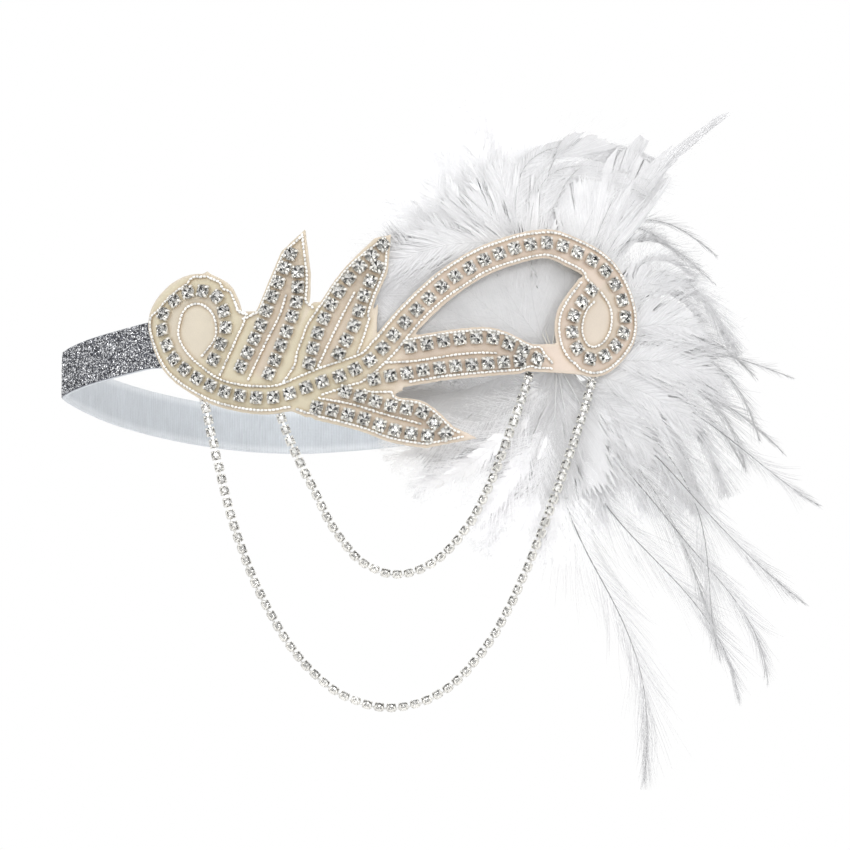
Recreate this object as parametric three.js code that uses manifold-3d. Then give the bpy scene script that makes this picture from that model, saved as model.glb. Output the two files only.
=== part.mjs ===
// Flapper headband: an elastic band, a felt applique with rows of rhinestones,
// two swags of rhinestone chain and a plume of feathers behind its right half.
// Millimetres. +Z is up, the front faces -Y and +X is the viewer's right.
// The origin is the middle of the band's loop at half the band's height.
import * as THREE from 'three';
import { mergeVertices } from 'three/addons/utils/BufferGeometryUtils.js';
import { ConvexGeometry } from 'three/addons/geometries/ConvexGeometry.js';
import Module from 'manifold-3d';

const wasm = await Module();
wasm.setup();

// Room kept between pieces that rest on each other
const clearance = 0.3;
// Corners closer than this are one corner
const weld = 1e-3;

// Elastic band: half its width, its reach behind the origin, height and wall, and
// how far its front dips behind the applique
const bandHalfWidth = 76.3;
const bandBackReach = 88;
const bandHeight = 15;
const bandWall = 1.2;
const bandDip = 3.4;
const bandSteps = 60;

// The applique's face lies on an upright cylinder in front of the forehead
const frontRadius = 150;
const frontReach = 74.5;
const frontMiddle = 30;

// Applique: half its length round the bend, the height of its highest tip, its felt
const appliqueReach = 80;
const appliqueRise = 30;
const feltWall = 1.2;
const ribbonEdge = 4.5;
const leafMargin = 3.6;
const creaseEvery = 13;

// Sewn stones: claw cup with its crown and table, the stitch between two cups, how
// far a stitch or link starts above the cups' bases, as a share of its wall, the
// stones' spacing in the ribbon and in the leaves, and how many of each of a leaf's
// rows share a foot at its tip
const sewnStone = { side: 3.7, cup: 1.4, crown: 0.9, table: 1.4 };
const stitch = { width: 1.6, wall: 0.7 };
const spindleFoot = 0.15;
const ribbonPitch = 5.27;
const leafPitch = 4.85;
const footStones = 3;

// Swags: smaller claw cups with a link between each two, how far the felt covers
// the chain's ends, and how deep each swag hangs. The cups turn inward by chainTurn
// degrees between two shares of the way from an end to the middle.
const chainStone = { side: 2.7, cup: 1.25, crown: 0.7, table: 1.0 };
const link = { width: 1.2, wall: 0.7 };
const chainPitch = 3.75;
const chainHold = 1.95;
const outerDrop = 100.5;
const innerDrop = 57.2;
const chainTurn = 52;
const chainTurnShares = [0.05, 0.55];

// Plume: how far its sheet lies behind the applique's face and flares back, the
// root that the feathers are bound to, and a feather's usual size
const plumeBehind = 8.5;
const plumeFlare = 0.55;
const plumeEase = 80;
const plumeRoot = { along: 0.675, up: -0.283 };
const rootRadius = 4.6;
const rootDepth = 7;
const rootSides = 10;
const quillSeat = 0.3;
const quillRise = 0.25;
const quillWidth = 2.4;
const featherWall = 2.6;
const featherLength = 100;
const featherWidth = 20;
const slimShare = 0.6;

// Band's outer face in plan: shares of half the width, and of the reach behind
// or before the origin. It touches the applique between the two part-rows.
const bandBehind = [
  { across: -1.0, back: 0.0 },
  { across: -0.868, back: 0.374 },
  { across: -0.72, back: 0.603 },
  { across: -0.564, back: 0.769 },
  { across: -0.44, back: 0.865 },
  { across: -0.258, back: 0.963 },
  { across: -0.033, back: 1.0 },
  { across: 0.165, back: 0.958 },
  { across: 0.335, back: 0.895 },
  { across: 0.5, back: 0.81 },
  { across: 0.66, back: 0.68 },
  { across: 0.8, back: 0.51 },
  { across: 0.91, back: 0.32 },
  { across: 0.98, back: 0.12 },
];
const bandRightFront = [
  { across: 1.0, ahead: 0.03 },
  { across: 0.957, ahead: 0.2 },
  { across: 0.872, ahead: 0.43 },
  { across: 0.76, ahead: 0.644 },
  { across: 0.629, ahead: 0.815 },
  { across: 0.472, ahead: 0.925 },
];
const bandLeftFront = [
  { across: -0.472, ahead: 0.742 },
  { across: -0.557, ahead: 0.65 },
  { across: -0.621, ahead: 0.568 },
  { across: -0.775, ahead: 0.393 },
  { across: -0.889, ahead: 0.244 },
  { across: -0.978, ahead: 0.08 },
];
const bandTouch = [-0.13, -0.28, -0.43, -0.58, -0.72];
const bandDipShares = [0.55, 0.83];

// Ribbon of the applique, from the left curl's inner end to the right curl's:
// shares of the applique's reach and rise, and of the ribbon's own edge
const ribbonRoute = [
  { along: -0.694, up: -0.317, edge: 1.1 },
  { along: -0.645, up: -0.01, edge: 1.15 },
  { along: -0.67, up: 0.287, edge: 1.15 },
  { along: -0.716, up: 0.39, edge: 1.2 },
  { along: -0.789, up: 0.427, edge: 1.25 },
  { along: -0.858, up: 0.36, edge: 1.3 },
  { along: -0.91, up: 0.223, edge: 1.3 },
  { along: -0.916, up: 0.067, edge: 1.25 },
  { along: -0.861, up: -0.267, edge: 1.2 },
  { along: -0.756, up: -0.503, edge: 1.15 },
  { along: -0.632, up: -0.67, edge: 1.1 },
  { along: -0.458, up: -0.757, edge: 1.05 },
  { along: -0.288, up: -0.633, edge: 1 },
  { along: -0.15, up: -0.507, edge: 1 },
  { along: -0.051, up: -0.32, edge: 1 },
  { along: 0.071, up: 0.063, edge: 1 },
  { along: 0.214, up: 0.427, edge: 1 },
  { along: 0.378, up: 0.703, edge: 1 },
  { along: 0.583, up: 0.887, edge: 1 },
  { along: 0.708, up: 0.827, edge: 1.1 },
  { along: 0.838, up: 0.66, edge: 1.15 },
  { along: 0.913, up: 0.363, edge: 1.15 },
  { along: 0.921, up: 0.037, edge: 1.15 },
  { along: 0.841, up: -0.233, edge: 1.15 },
  { along: 0.769, up: -0.287, edge: 1.15 },
  { along: 0.708, up: -0.14, edge: 1.1 },
  { along: 0.705, up: 0.133, edge: 1.1 },
  { along: 0.781, up: 0.433, edge: 1.1 },
];
const ribbonStretches = 5;
const curlShare = 0.22;
const curlPeak = [
  { along: -0.79, up: 0.5 },
  { along: -0.732, up: 0.63 },
  { along: -0.66, up: 0.45 },
];

// Leaves: the root on the ribbon, the tip, and two rows of stones that end near
// the tip. All are shares of the applique's reach and rise.
const leaves = [
  {
    root: { along: -0.525, up: -0.6 },
    tip: { along: -0.336, up: 0.997 },
    left: [[-0.581, -0.413], [-0.512, -0.037], [-0.44, 0.41], [-0.388, 0.73]],
    right: [[-0.47, -0.507], [-0.403, -0.08], [-0.364, 0.237], [-0.359, 0.54]],
  },
  {
    root: { along: -0.25, up: -0.55 },
    tip: { along: -0.005, up: 0.92 },
    left: [[-0.315, -0.417], [-0.26, 0.033], [-0.164, 0.45], [-0.035, 0.8]],
    right: [[-0.204, -0.33], [-0.145, -0.047], [-0.105, 0.287], [-0.058, 0.573]],
  },
  {
    root: { along: 0.0, up: -0.42 },
    tip: { along: 0.6, up: -0.37 },
    left: [[0.069, -0.263], [0.266, -0.17], [0.401, -0.157], [0.558, -0.34]],
    right: [[-0.066, -0.6], [0.124, -0.5], [0.32, -0.427], [0.486, -0.373]],
  },
  {
    root: { along: -0.28, up: -0.72 },
    tip: { along: 0.325, up: -1.18 },
    left: [[-0.176, -0.723], [0.004, -0.883], [0.111, -0.937], [0.203, -1.157]],
    right: [[-0.285, -0.873], [-0.109, -1.003], [0.01, -1.123], [0.135, -1.177]],
  },
];

// Plain felt between the motifs: each notch and the two points it spreads to,
// and the bridge from the third leaf's tip to the right curl
const webs = [
  [[-0.551, 0.14], [-0.65, -0.33], [-0.53, -0.4]],
  [[-0.293, 0.247], [-0.44, -0.4], [-0.26, -0.4]],
  [[-0.066, -0.047], [-0.19, -0.35], [-0.08, -0.32]],
  [[0.075, -0.1], [-0.03, -0.28], [0.06, -0.3]],
  [[0.038, -0.7], [-0.15, -0.67], [-0.03, -0.56]],
  [[0.535, -0.18], [0.535, -0.46], [0.74, -0.45], [0.74, -0.13]],
];

// Swags: where each is sewn behind the felt, as shares of the applique's reach and
// rise, and its route, as shares of the way across and of the swag's drop
const outerSwag = {
  left: [-0.755, -0.667],
  right: [0.814, -0.41],
  drop: outerDrop,
  route: [
    { across: 0.025, down: 0.137 },
    { across: 0.076, down: 0.401 },
    { across: 0.148, down: 0.633 },
    { across: 0.25, down: 0.836 },
    { across: 0.364, down: 0.957 },
    { across: 0.495, down: 1 },
    { across: 0.616, down: 0.957 },
    { across: 0.73, down: 0.82 },
    { across: 0.814, down: 0.636 },
    { across: 0.891, down: 0.402 },
    { across: 0.956, down: 0.174 },
  ],
};
const innerSwag = {
  left: [-0.449, -0.833],
  right: [0.536, -0.5],
  drop: innerDrop,
  route: [
    { across: 0.052, down: 0.198 },
    { across: 0.128, down: 0.438 },
    { across: 0.232, down: 0.73 },
    { across: 0.355, down: 0.928 },
    { across: 0.497, down: 1 },
    { across: 0.639, down: 0.944 },
    { across: 0.765, down: 0.777 },
    { across: 0.861, down: 0.539 },
    { across: 0.937, down: 0.254 },
  ],
};

// Feathers: heading and bend in degrees, anticlockwise from +X as seen from the
// front, shares of the usual length and width, and how far the tip leans back from
// the sheet, as a share of the usual length
const feathers = [
  { heading: 141, length: 0.74, width: 1.25, bend: 6, lean: 0.03 },
  { heading: 133, length: 0.74, width: 1.15, bend: 7, lean: 0.02 },
  { heading: 124, length: 0.74, width: 1.15, bend: 15, lean: 0.04 },
  { heading: 110, length: 0.87, width: 0.6, bend: 3, lean: 0.02 },
  { heading: 105, length: 0.82, width: 1, bend: 1, lean: 0.05 },
  { heading: 97, length: 0.73, width: 1.25, bend: -7, lean: 0.03 },
  { heading: 85, length: 0.74, width: 1.25, bend: 1, lean: 0.06 },
  { heading: 72, length: 0.7, width: 1.1, bend: -8, lean: 0.03 },
  { heading: 58, length: 1.05, width: 0.4, bend: -32, lean: 0.05 },
  { heading: 42, length: 0.84, width: 0.35, bend: -143, lean: 0.02 },
  { heading: 45, length: 0.64, width: 1, bend: -89, lean: 0.06 },
  { heading: 24, length: 0.67, width: 1, bend: -129, lean: 0.03 },
  { heading: -7, length: 0.84, width: 0.9, bend: -127, lean: 0.05 },
  { heading: 3, length: 0.8, width: 0.45, bend: -89, lean: 0.02 },
  { heading: 14, length: 0.73, width: 1.1, bend: -105, lean: 0.07 },
  { heading: -26, length: 0.75, width: 0.9, bend: -61, lean: 0.06 },
  { heading: -21, length: 0.95, width: 0.4, bend: -65, lean: 0.03 },
  { heading: -4, length: 0.61, width: 1.15, bend: -50, lean: 0.08 },
  { heading: -56, length: 1.1, width: 0.5, bend: -71, lean: 0.07 },
  { heading: -41, length: 1.03, width: 0.4, bend: -51, lean: 0.04 },
  { heading: -67, length: 1.14, width: 0.5, bend: -39, lean: 0.1 },
  { heading: -61, length: 1.15, width: 0.45, bend: -15, lean: 0.12 },
  { heading: -80, length: 1.32, width: 0.5, bend: -25, lean: 0.09 },
  { heading: -47, length: 0.71, width: 1.1, bend: -24, lean: 0.1 },
  { heading: -67, length: 0.64, width: 1.1, bend: -19, lean: 0.12 },
  { heading: -152, length: 0.6, width: 0.85, bend: -52, lean: 0.08 },
  { heading: -139, length: 0.56, width: 1, bend: -36, lean: 0.1 },
  { heading: -122, length: 0.53, width: 1.05, bend: -16, lean: 0.12 },
  { heading: -104, length: 0.58, width: 1.1, bend: -13, lean: 0.09 },
  { heading: -88, length: 0.6, width: 1, bend: -21, lean: 0.13 },
];
// Sections of a fluffy and of a slim feather: shares of its length, width and wall
const fluff = [
  { at: 0.2, width: 0.65, wall: 1 },
  { at: 0.5, width: 1, wall: 0.8 },
  { at: 0.85, width: 0.85, wall: 0.5 },
];
const hackle = [
  { at: 0.2, width: 0.8, wall: 1 },
  { at: 0.5, width: 1, wall: 0.7 },
  { at: 0.8, width: 0.6, wall: 0.45 },
];

const silver = { color: 0xd9dadd, roughness: 0.2, metalness: 0.9, flatShading: true };
const looks = {
  band: { color: 0x9a9ca4, roughness: 0.45, metalness: 0.5 },
  felt: { color: 0xeadfcb, roughness: 0.8, metalness: 0 },
  stones: silver,
  chain: { color: 0xc9cbd0, roughness: 0.18, metalness: 0.95, flatShading: true },
  feather: { color: 0xf2f2f3, roughness: 0.9, metalness: 0, side: THREE.DoubleSide },
};

// Point of the bent applique: along the bend, up, and out from the felt's face
function onFront(along, up, out) {
  const angle = along / frontRadius;
  const reach = frontRadius + out;
  return new THREE.Vector3(
    frontMiddle + reach * Math.sin(angle),
    frontRadius - frontReach - reach * Math.cos(angle),
    up,
  );
}

function flatPoint(along, up) {
  return new THREE.Vector2(along * appliqueReach, up * appliqueRise);
}

// Closed mesh to solid, with its shared corners merged
function solidOf(geometry) {
  const bare = geometry.clone();
  bare.deleteAttribute('normal');
  bare.deleteAttribute('uv');
  const merged = mergeVertices(bare, weld);
  return new wasm.Manifold(new wasm.Mesh({
    numProp: 3,
    vertProperties: new Float32Array(merged.attributes.position.array),
    triVerts: new Uint32Array(merged.index.array),
  }));
}

function geometryOf(solid) {
  const { points, faces } = meshOf(solid);
  const geometry = new THREE.BufferGeometry().setFromPoints(points);
  geometry.setIndex(faces.flat());
  geometry.computeVertexNormals();
  return geometry;
}

function joined(solids) {
  return solids.reduce((whole, next) => whole.add(next));
}

// Skin over rings of equally many points, closed by flat ends or run to a tip
function loft(rings, tip) {
  const count = rings[0].length;
  const points = rings.flat();
  const faces = [];
  for (let ring = 0; ring < rings.length - 1; ring += 1) {
    for (let side = 0; side < count; side += 1) {
      const here = ring * count + side;
      const beside = ring * count + ((side + 1) % count);
      faces.push(here, beside, here + count, beside, beside + count, here + count);
    }
  }
  for (let side = 1; side < count - 1; side += 1) {
    faces.push(0, side + 1, side);
  }
  const last = (rings.length - 1) * count;
  for (let side = 0; side < count; side += 1) {
    if (tip) {
      faces.push(last + side, last + ((side + 1) % count), points.length);
    } else if (side > 0 && side < count - 1) {
      faces.push(last, last + side, last + side + 1);
    }
  }
  const geometry = new THREE.BufferGeometry().setFromPoints(tip ? [...points, tip] : points);
  geometry.setIndex(faces);
  return geometry;
}

function elasticBand() {
  const route = [];
  for (const { across, back } of bandBehind) {
    route.push(new THREE.Vector3(across * bandHalfWidth, back * bandBackReach, 0));
  }
  for (const { across, ahead } of bandRightFront) {
    route.push(new THREE.Vector3(across * bandHalfWidth, -ahead * frontReach, 0));
  }
  for (const along of bandTouch) {
    route.push(onFront(along * appliqueReach, 0, -feltWall - clearance));
  }
  for (const { across, ahead } of bandLeftFront) {
    route.push(new THREE.Vector3(across * bandHalfWidth, -ahead * frontReach, 0));
  }
  const outer = new THREE.CatmullRomCurve3(route, true).getSpacedPoints(bandSteps).slice(0, -1);
  const inner = outer.map((point, index) => {
    const before = outer[(index + bandSteps - 1) % bandSteps];
    const after = outer[(index + 1) % bandSteps];
    const inward = new THREE.Vector3(after.y - before.y, before.x - after.x, 0).normalize();
    return point.clone().addScaledVector(inward, bandWall);
  });
  const shape = new THREE.Shape(outer.map((point) => new THREE.Vector2(point.x, point.y)));
  shape.holes.push(new THREE.Path(inner.reverse().map((point) => new THREE.Vector2(point.x, point.y))));
  const geometry = new THREE.ExtrudeGeometry(shape, { depth: bandHeight, bevelEnabled: false });
  geometry.translate(0, 0, -bandHeight / 2);
  const corners = geometry.attributes.position;
  for (let index = 0; index < corners.count; index += 1) {
    const ahead = -corners.getY(index) / frontReach;
    const dip = bandDip * THREE.MathUtils.smoothstep(ahead, ...bandDipShares);
    corners.setZ(index, corners.getZ(index) - dip);
  }
  geometry.computeVertexNormals();
  return geometry;
}

// Catmull-Rom curve through flat points of the applique
function flatCurve(points) {
  return new THREE.SplineCurve(points);
}

// Unit vector to the left of a row of flat points, at one of them
function leftOf(points, index) {
  const before = points[Math.max(index - 1, 0)];
  const after = points[Math.min(index + 1, points.length - 1)];
  return new THREE.Vector2(before.y - after.y, after.x - before.x).normalize();
}

function ribbonCurve() {
  return flatCurve(ribbonRoute.map(({ along, up }) => flatPoint(along, up)));
}

function feltPlate(points) {
  const shape = new THREE.Shape(points);
  const plate = new THREE.ExtrudeGeometry(shape, { depth: feltWall, bevelEnabled: false });
  return solidOf(plate.translate(0, 0, -feltWall));
}

// The ribbon's felt in stretches, because its curls come close to themselves
function ribbonPlates() {
  const stepsPerStretch = 10;
  const curve = ribbonCurve();
  const steps = ribbonStretches * stepsPerStretch;
  const centres = curve.getPoints(steps);
  const edges = centres.map((_, index) => {
    const place = (index / steps) * (ribbonRoute.length - 1);
    const row = Math.min(Math.floor(place), ribbonRoute.length - 2);
    const share = place - row;
    const edge = ribbonRoute[row].edge * (1 - share) + ribbonRoute[row + 1].edge * share;
    return leftOf(centres, index).multiplyScalar(edge * ribbonEdge);
  });
  const plates = [];
  for (let stretch = 0; stretch < ribbonStretches; stretch += 1) {
    const from = stretch * stepsPerStretch;
    const to = from + stepsPerStretch + 1;
    const leftSide = centres.slice(from, to).map((point, i) => point.clone().add(edges[from + i]));
    const rightSide = centres.slice(from, to).map((point, i) => point.clone().sub(edges[from + i]));
    plates.push(feltPlate([...leftSide, ...rightSide.reverse()]));
  }
  return plates;
}

// The felt inside the two curls
function curlPlates() {
  const count = 60;
  const points = ribbonCurve().getSpacedPoints(count);
  const length = Math.round(curlShare * count);
  return [feltPlate(points.slice(0, length + 1)), feltPlate(points.slice(count - length))];
}

function rowCurve(row) {
  return flatCurve(row.map(([along, up]) => flatPoint(along, up)));
}

// A leaf's edge follows its rows of stones and runs to its tip
function leafPlate(leaf) {
  const steps = 4;
  const edgeOf = (row, side) => {
    const points = rowCurve(row).getPoints(steps);
    return points.map((point, index) => (
      point.clone().addScaledVector(leftOf(points, index), side * leafMargin)
    ));
  };
  return feltPlate([
    flatPoint(leaf.root.along, leaf.root.up),
    ...edgeOf(leaf.right, -1),
    flatPoint(leaf.tip.along, leaf.tip.up),
    ...edgeOf(leaf.left, 1).reverse(),
  ]);
}

// Corner points and triangles of a solid
function meshOf(solid) {
  const { vertProperties, triVerts } = solid.getMesh();
  const points = [];
  for (let index = 0; index < vertProperties.length; index += 3) {
    points.push(new THREE.Vector3().fromArray(vertProperties, index));
  }
  const faces = [];
  for (let index = 0; index < triVerts.length; index += 3) {
    faces.push([...triVerts.slice(index, index + 3)]);
  }
  return { points, faces };
}

// Splits a flat mesh along an upright line, so that it can be bent there
function splitFaces(points, faces, line) {
  const nearby = 1e-3;
  const cuts = new Map();
  const sideOf = (corner) => {
    const distance = points[corner].x - line;
    return Math.abs(distance) < nearby ? 0 : Math.sign(distance);
  };
  const cutAt = (from, to) => {
    const key = from < to ? `${from} ${to}` : `${to} ${from}`;
    if (!cuts.has(key)) {
      const share = (line - points[from].x) / (points[to].x - points[from].x);
      points.push(points[from].clone().lerp(points[to], share));
      cuts.set(key, points.length - 1);
    }
    return cuts.get(key);
  };
  return faces.flatMap((face) => {
    const sides = face.map(sideOf);
    if (!sides.includes(1) || !sides.includes(-1)) {
      return [face];
    }
    if (sides.includes(0)) {
      const start = sides.indexOf(0);
      const [on, near, far] = [0, 1, 2].map((turn) => face[(start + turn) % 3]);
      const cut = cutAt(near, far);
      return [[on, near, cut], [on, cut, far]];
    }
    const total = sides[0] + sides[1] + sides[2];
    const start = sides.indexOf(-Math.sign(total));
    const [alone, near, far] = [0, 1, 2].map((turn) => face[(start + turn) % 3]);
    const nearCut = cutAt(alone, near);
    const farCut = cutAt(alone, far);
    return [[alone, nearCut, farCut], [nearCut, near, far], [nearCut, far, farCut]];
  });
}

function feltBacking() {
  const plates = [...ribbonPlates(), ...curlPlates(), ...leaves.map(leafPlate)];
  plates.push(feltPlate(curlPeak.map(({ along, up }) => flatPoint(along, up)).reverse()));
  for (const web of webs) {
    plates.push(feltPlate(web.map(([along, up]) => flatPoint(along, up))));
  }
  const mesh = meshOf(joined(plates));
  let { faces } = mesh;
  const lines = Math.floor(appliqueReach / creaseEvery);
  for (let line = -lines; line <= lines; line += 1) {
    faces = splitFaces(mesh.points, faces, line * creaseEvery);
  }
  return bentRound(mesh.points, faces);
}

// Stone in a four-cornered claw cup. Its table is turned against the cup, which
// gives eight crown facets. The place function takes distances along the row,
// across it and out from the cup's base.
function clawedStone(size, place) {
  const half = size.side / 2;
  const points = [];
  for (const [a, b] of [[1, 1], [-1, 1], [-1, -1], [1, -1]]) {
    points.push(place(a * half, b * half, 0), place(a * half, b * half, size.cup));
  }
  for (const [a, b] of [[1, 0], [0, 1], [-1, 0], [0, -1]]) {
    points.push(place(a * size.table, b * size.table, size.cup + size.crown));
  }
  return solidOf(new ConvexGeometry(points));
}

// Spindle from inside one cup to inside the next, thickest between them. The side
// vector runs across it and the out vector away from the cups' bases.
function spindle(from, to, side, out, size) {
  const rise = out.clone().setLength(size.wall);
  const half = side.clone().setLength(size.width / 2);
  const foot = from.clone().lerp(to, 0.5).addScaledVector(rise, spindleFoot);
  const middleOf = (end) => end.clone().addScaledVector(rise, 0.5);
  const ring = [foot.clone().sub(half), foot.clone().add(half), foot.clone().add(rise)];
  return solidOf(new ConvexGeometry([middleOf(from), middleOf(to), ...ring]));
}

function stonePlaces(curve, pitch) {
  return curve.getSpacedPoints(Math.round(curve.getLength() / pitch));
}

// Stones at evenly spaced places with a stitch between each two, still unbent
function sewnRow(points) {
  const stones = points.map((point, index) => {
    const left = leftOf(points, index);
    const place = (a, b, out) => new THREE.Vector3(
      point.x + a * left.y + b * left.x,
      point.y - a * left.x + b * left.y,
      clearance + out,
    );
    return clawedStone(sewnStone, place);
  });
  const stitches = points.slice(1).map((point, index) => stitchBetween(points[index], point));
  return joined([...stones, ...stitches]);
}

function stitchBetween(from, to) {
  const out = new THREE.Vector3(0, 0, 1);
  const [start, end] = [from, to].map((point) => new THREE.Vector3(point.x, point.y, clearance));
  const side = end.clone().sub(start).cross(out);
  return spindle(start, end, side, out, stitch);
}

// Bends a flat mesh, lying in X and Y with its face outward, round the front
function bentRound(points, faces) {
  const bent = points.map((point) => onFront(point.x, point.y, point.z));
  const geometry = new THREE.BufferGeometry().setFromPoints(bent);
  geometry.setIndex(faces.flat());
  geometry.computeVertexNormals();
  return geometry;
}

function ribbonStones() {
  const { points, faces } = meshOf(sewnRow(stonePlaces(ribbonCurve(), ribbonPitch)));
  return bentRound(points, faces);
}

// Two rows that share a thin foot near the leaf's tip
function leafStones(leaf) {
  const rows = [leaf.left, leaf.right].map((row) => stonePlaces(rowCurve(row), leafPitch));
  const places = rows.flatMap((row) => row.slice(-footStones));
  const corners = places.flatMap((place) => [0, stitch.wall].map((high) => (
    new THREE.Vector3(place.x, place.y, clearance + high)
  )));
  const foot = solidOf(new ConvexGeometry(corners));
  const { points, faces } = meshOf(joined([...rows.map(sewnRow), foot]));
  return bentRound(points, faces);
}

// Chain with its cups facing forward at the ends and turned inward lower down
function swag({ left, right, drop, route }) {
  const out = -feltWall - clearance - (1 + spindleFoot) * link.wall;
  const tuck = ribbonEdge + chainStone.side / 2 - chainHold;
  const [start, end] = [left, right].map(([along, up]) => {
    const at = flatPoint(along, up);
    return onFront(at.x, at.y, out);
  });
  const hanging = route.map(({ across, down }) => (
    start.clone().lerp(end, across).setZ(THREE.MathUtils.lerp(start.z, end.z, across) - down * drop)
  ));
  const curve = new THREE.CatmullRomCurve3([start, ...hanging, end]);
  const length = curve.getLength();
  const gaps = Math.round((length - 2 * tuck) / chainPitch);
  const distances = [0];
  for (let cup = 0; cup <= gaps; cup += 1) {
    distances.push(tuck + (cup * (length - 2 * tuck)) / gaps);
  }
  distances.push(length);
  const centres = distances.map((distance) => curve.getPointAt(distance / length));
  const straight = end.clone().sub(start).setZ(0).normalize();
  const forward = new THREE.Vector3(straight.y, -straight.x, 0);
  const frames = centres.map((centre, index) => {
    const before = centres[Math.max(index - 1, 0)];
    const after = centres[Math.min(index + 1, centres.length - 1)];
    const tangent = after.clone().sub(before).normalize();
    const inward = forward.clone().cross(tangent);
    const share = Math.min(distances[index], length - distances[index]) / (length / 2);
    const turned = THREE.MathUtils.smoothstep(share, ...chainTurnShares);
    const turn = THREE.MathUtils.degToRad(chainTurn) * turned;
    const face = forward.clone().multiplyScalar(Math.cos(turn)).addScaledVector(inward, Math.sin(turn));
    const side = face.clone().cross(tangent);
    const place = (a, b, high) => centre.clone()
      .addScaledVector(tangent, a)
      .addScaledVector(side, b)
      .addScaledVector(face, high);
    return { side, face, place };
  });
  const links = frames.slice(1).map((next, index) => {
    const { side, face } = frames[index];
    const ends = [centres[index], centres[index + 1]];
    return spindle(...ends, side.clone().add(next.side), face.clone().add(next.face), link);
  });
  const cups = frames.slice(1, -1).map(({ place }) => clawedStone(chainStone, place));
  return joined([...links, ...cups]);
}

// Depth of the sheet that the feathers lie in, flaring back to the sides
function plumeDepth(across) {
  const flare = Math.hypot(across - frontMiddle, plumeEase) - plumeEase;
  return plumeBehind - frontReach + plumeFlare * flare;
}

// One feather as a lens-shaped blade on a curved quill
function featherBlade(feather, root) {
  const steps = 40;
  const heading = THREE.MathUtils.degToRad(feather.heading);
  const bend = THREE.MathUtils.degToRad(feather.bend);
  const length = feather.length * featherLength;
  const headingAt = (share) => heading + bend * (share - 0.5);
  const quill = [root.clone()];
  for (let step = 0; step < steps; step += 1) {
    const angle = headingAt((step + 0.5) / steps);
    const next = quill[step].clone();
    next.x += (Math.cos(angle) * length) / steps;
    next.z += (Math.sin(angle) * length) / steps;
    quill.push(next);
  }
  quill.forEach((point, step) => {
    const share = step / steps;
    const risen = Math.min(share / quillRise, 1);
    point.y = THREE.MathUtils.lerp(root.y, plumeDepth(point.x), risen);
    point.y += feather.lean * featherLength * share;
  });
  const section = (share, width, wall) => {
    const at = quill[Math.round(share * steps)];
    const angle = headingAt(share);
    const across = new THREE.Vector3(-Math.sin(angle), 0, Math.cos(angle)).multiplyScalar(width / 2);
    const back = new THREE.Vector3(0, wall / 2, 0);
    return [at.clone().add(across), at.clone().sub(back), at.clone().sub(across), at.clone().add(back)];
  };
  const rings = [section(0, quillWidth, featherWall)];
  for (const { at, width, wall } of feather.width > slimShare ? fluff : hackle) {
    rings.push(section(at, width * feather.width * featherWidth, wall * featherWall));
  }
  return solidOf(loft(rings, quill.at(-1)));
}

function featherPlume() {
  const place = flatPoint(plumeRoot.along, plumeRoot.up);
  const seat = clearance + rootRadius ** 2 / (2 * frontRadius);
  const front = onFront(place.x, place.y, -feltWall - seat);
  const back = onFront(place.x, place.y, -feltWall - seat - rootDepth);
  const disc = new THREE.CylinderGeometry(rootRadius, rootRadius, rootDepth, rootSides);
  disc.rotateZ(place.x / frontRadius);
  const middle = front.clone().lerp(back, 0.5);
  disc.translate(middle.x, middle.y, middle.z);
  const root = middle.clone().lerp(back, quillSeat);
  const blades = feathers.map((feather) => featherBlade(feather, root));
  return joined([solidOf(disc), ...blades]);
}

function named(name, geometry, look) {
  const mesh = new THREE.Mesh(geometry, new THREE.MeshStandardMaterial(look));
  mesh.name = name;
  return mesh;
}

const group = new THREE.Group();
group.add(named('elastic_band', elasticBand(), looks.band));
group.add(named('applique_backing', feltBacking(), looks.felt));
group.add(named('ribbon_stones', ribbonStones(), looks.stones));
leaves.forEach((leaf, index) => {
  group.add(named(`leaf_stones_${index + 1}`, leafStones(leaf), looks.stones));
});
group.add(named('outer_chain', geometryOf(swag(outerSwag)), looks.chain));
group.add(named('inner_chain', geometryOf(swag(innerSwag)), looks.chain));
group.add(named('feather_plume', geometryOf(featherPlume()), looks.feather));

export default group;
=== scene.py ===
# Flapper headband: glitter elastic, a jewelled felt applique, two swags of cup chain
# and a plume of feathers. Lengths are in millimetres until addPiece makes them metres.
import math

import bpy
import numpy as np
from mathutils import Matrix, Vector
from mathutils.kdtree import KDTree


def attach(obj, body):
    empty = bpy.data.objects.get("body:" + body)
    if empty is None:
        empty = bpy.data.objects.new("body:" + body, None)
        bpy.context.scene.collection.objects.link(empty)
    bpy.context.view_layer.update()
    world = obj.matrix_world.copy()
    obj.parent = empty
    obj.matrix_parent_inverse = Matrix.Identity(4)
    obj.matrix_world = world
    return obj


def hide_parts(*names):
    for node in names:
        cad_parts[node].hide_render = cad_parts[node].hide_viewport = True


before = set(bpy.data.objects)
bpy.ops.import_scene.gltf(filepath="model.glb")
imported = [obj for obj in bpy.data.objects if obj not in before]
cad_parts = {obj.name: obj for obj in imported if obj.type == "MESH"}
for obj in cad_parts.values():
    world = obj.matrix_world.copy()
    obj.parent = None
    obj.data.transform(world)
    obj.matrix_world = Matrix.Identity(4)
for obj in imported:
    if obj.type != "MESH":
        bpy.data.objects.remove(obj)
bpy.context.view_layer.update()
mm = 0.001
print("frame loaded with", len(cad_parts), "nodes")

# ---- view
photoView = {"target": (40.0, 0.0, -16.07), "upTilt": 12.0, "distance": 1400.0, "lens": 185.3}


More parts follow.
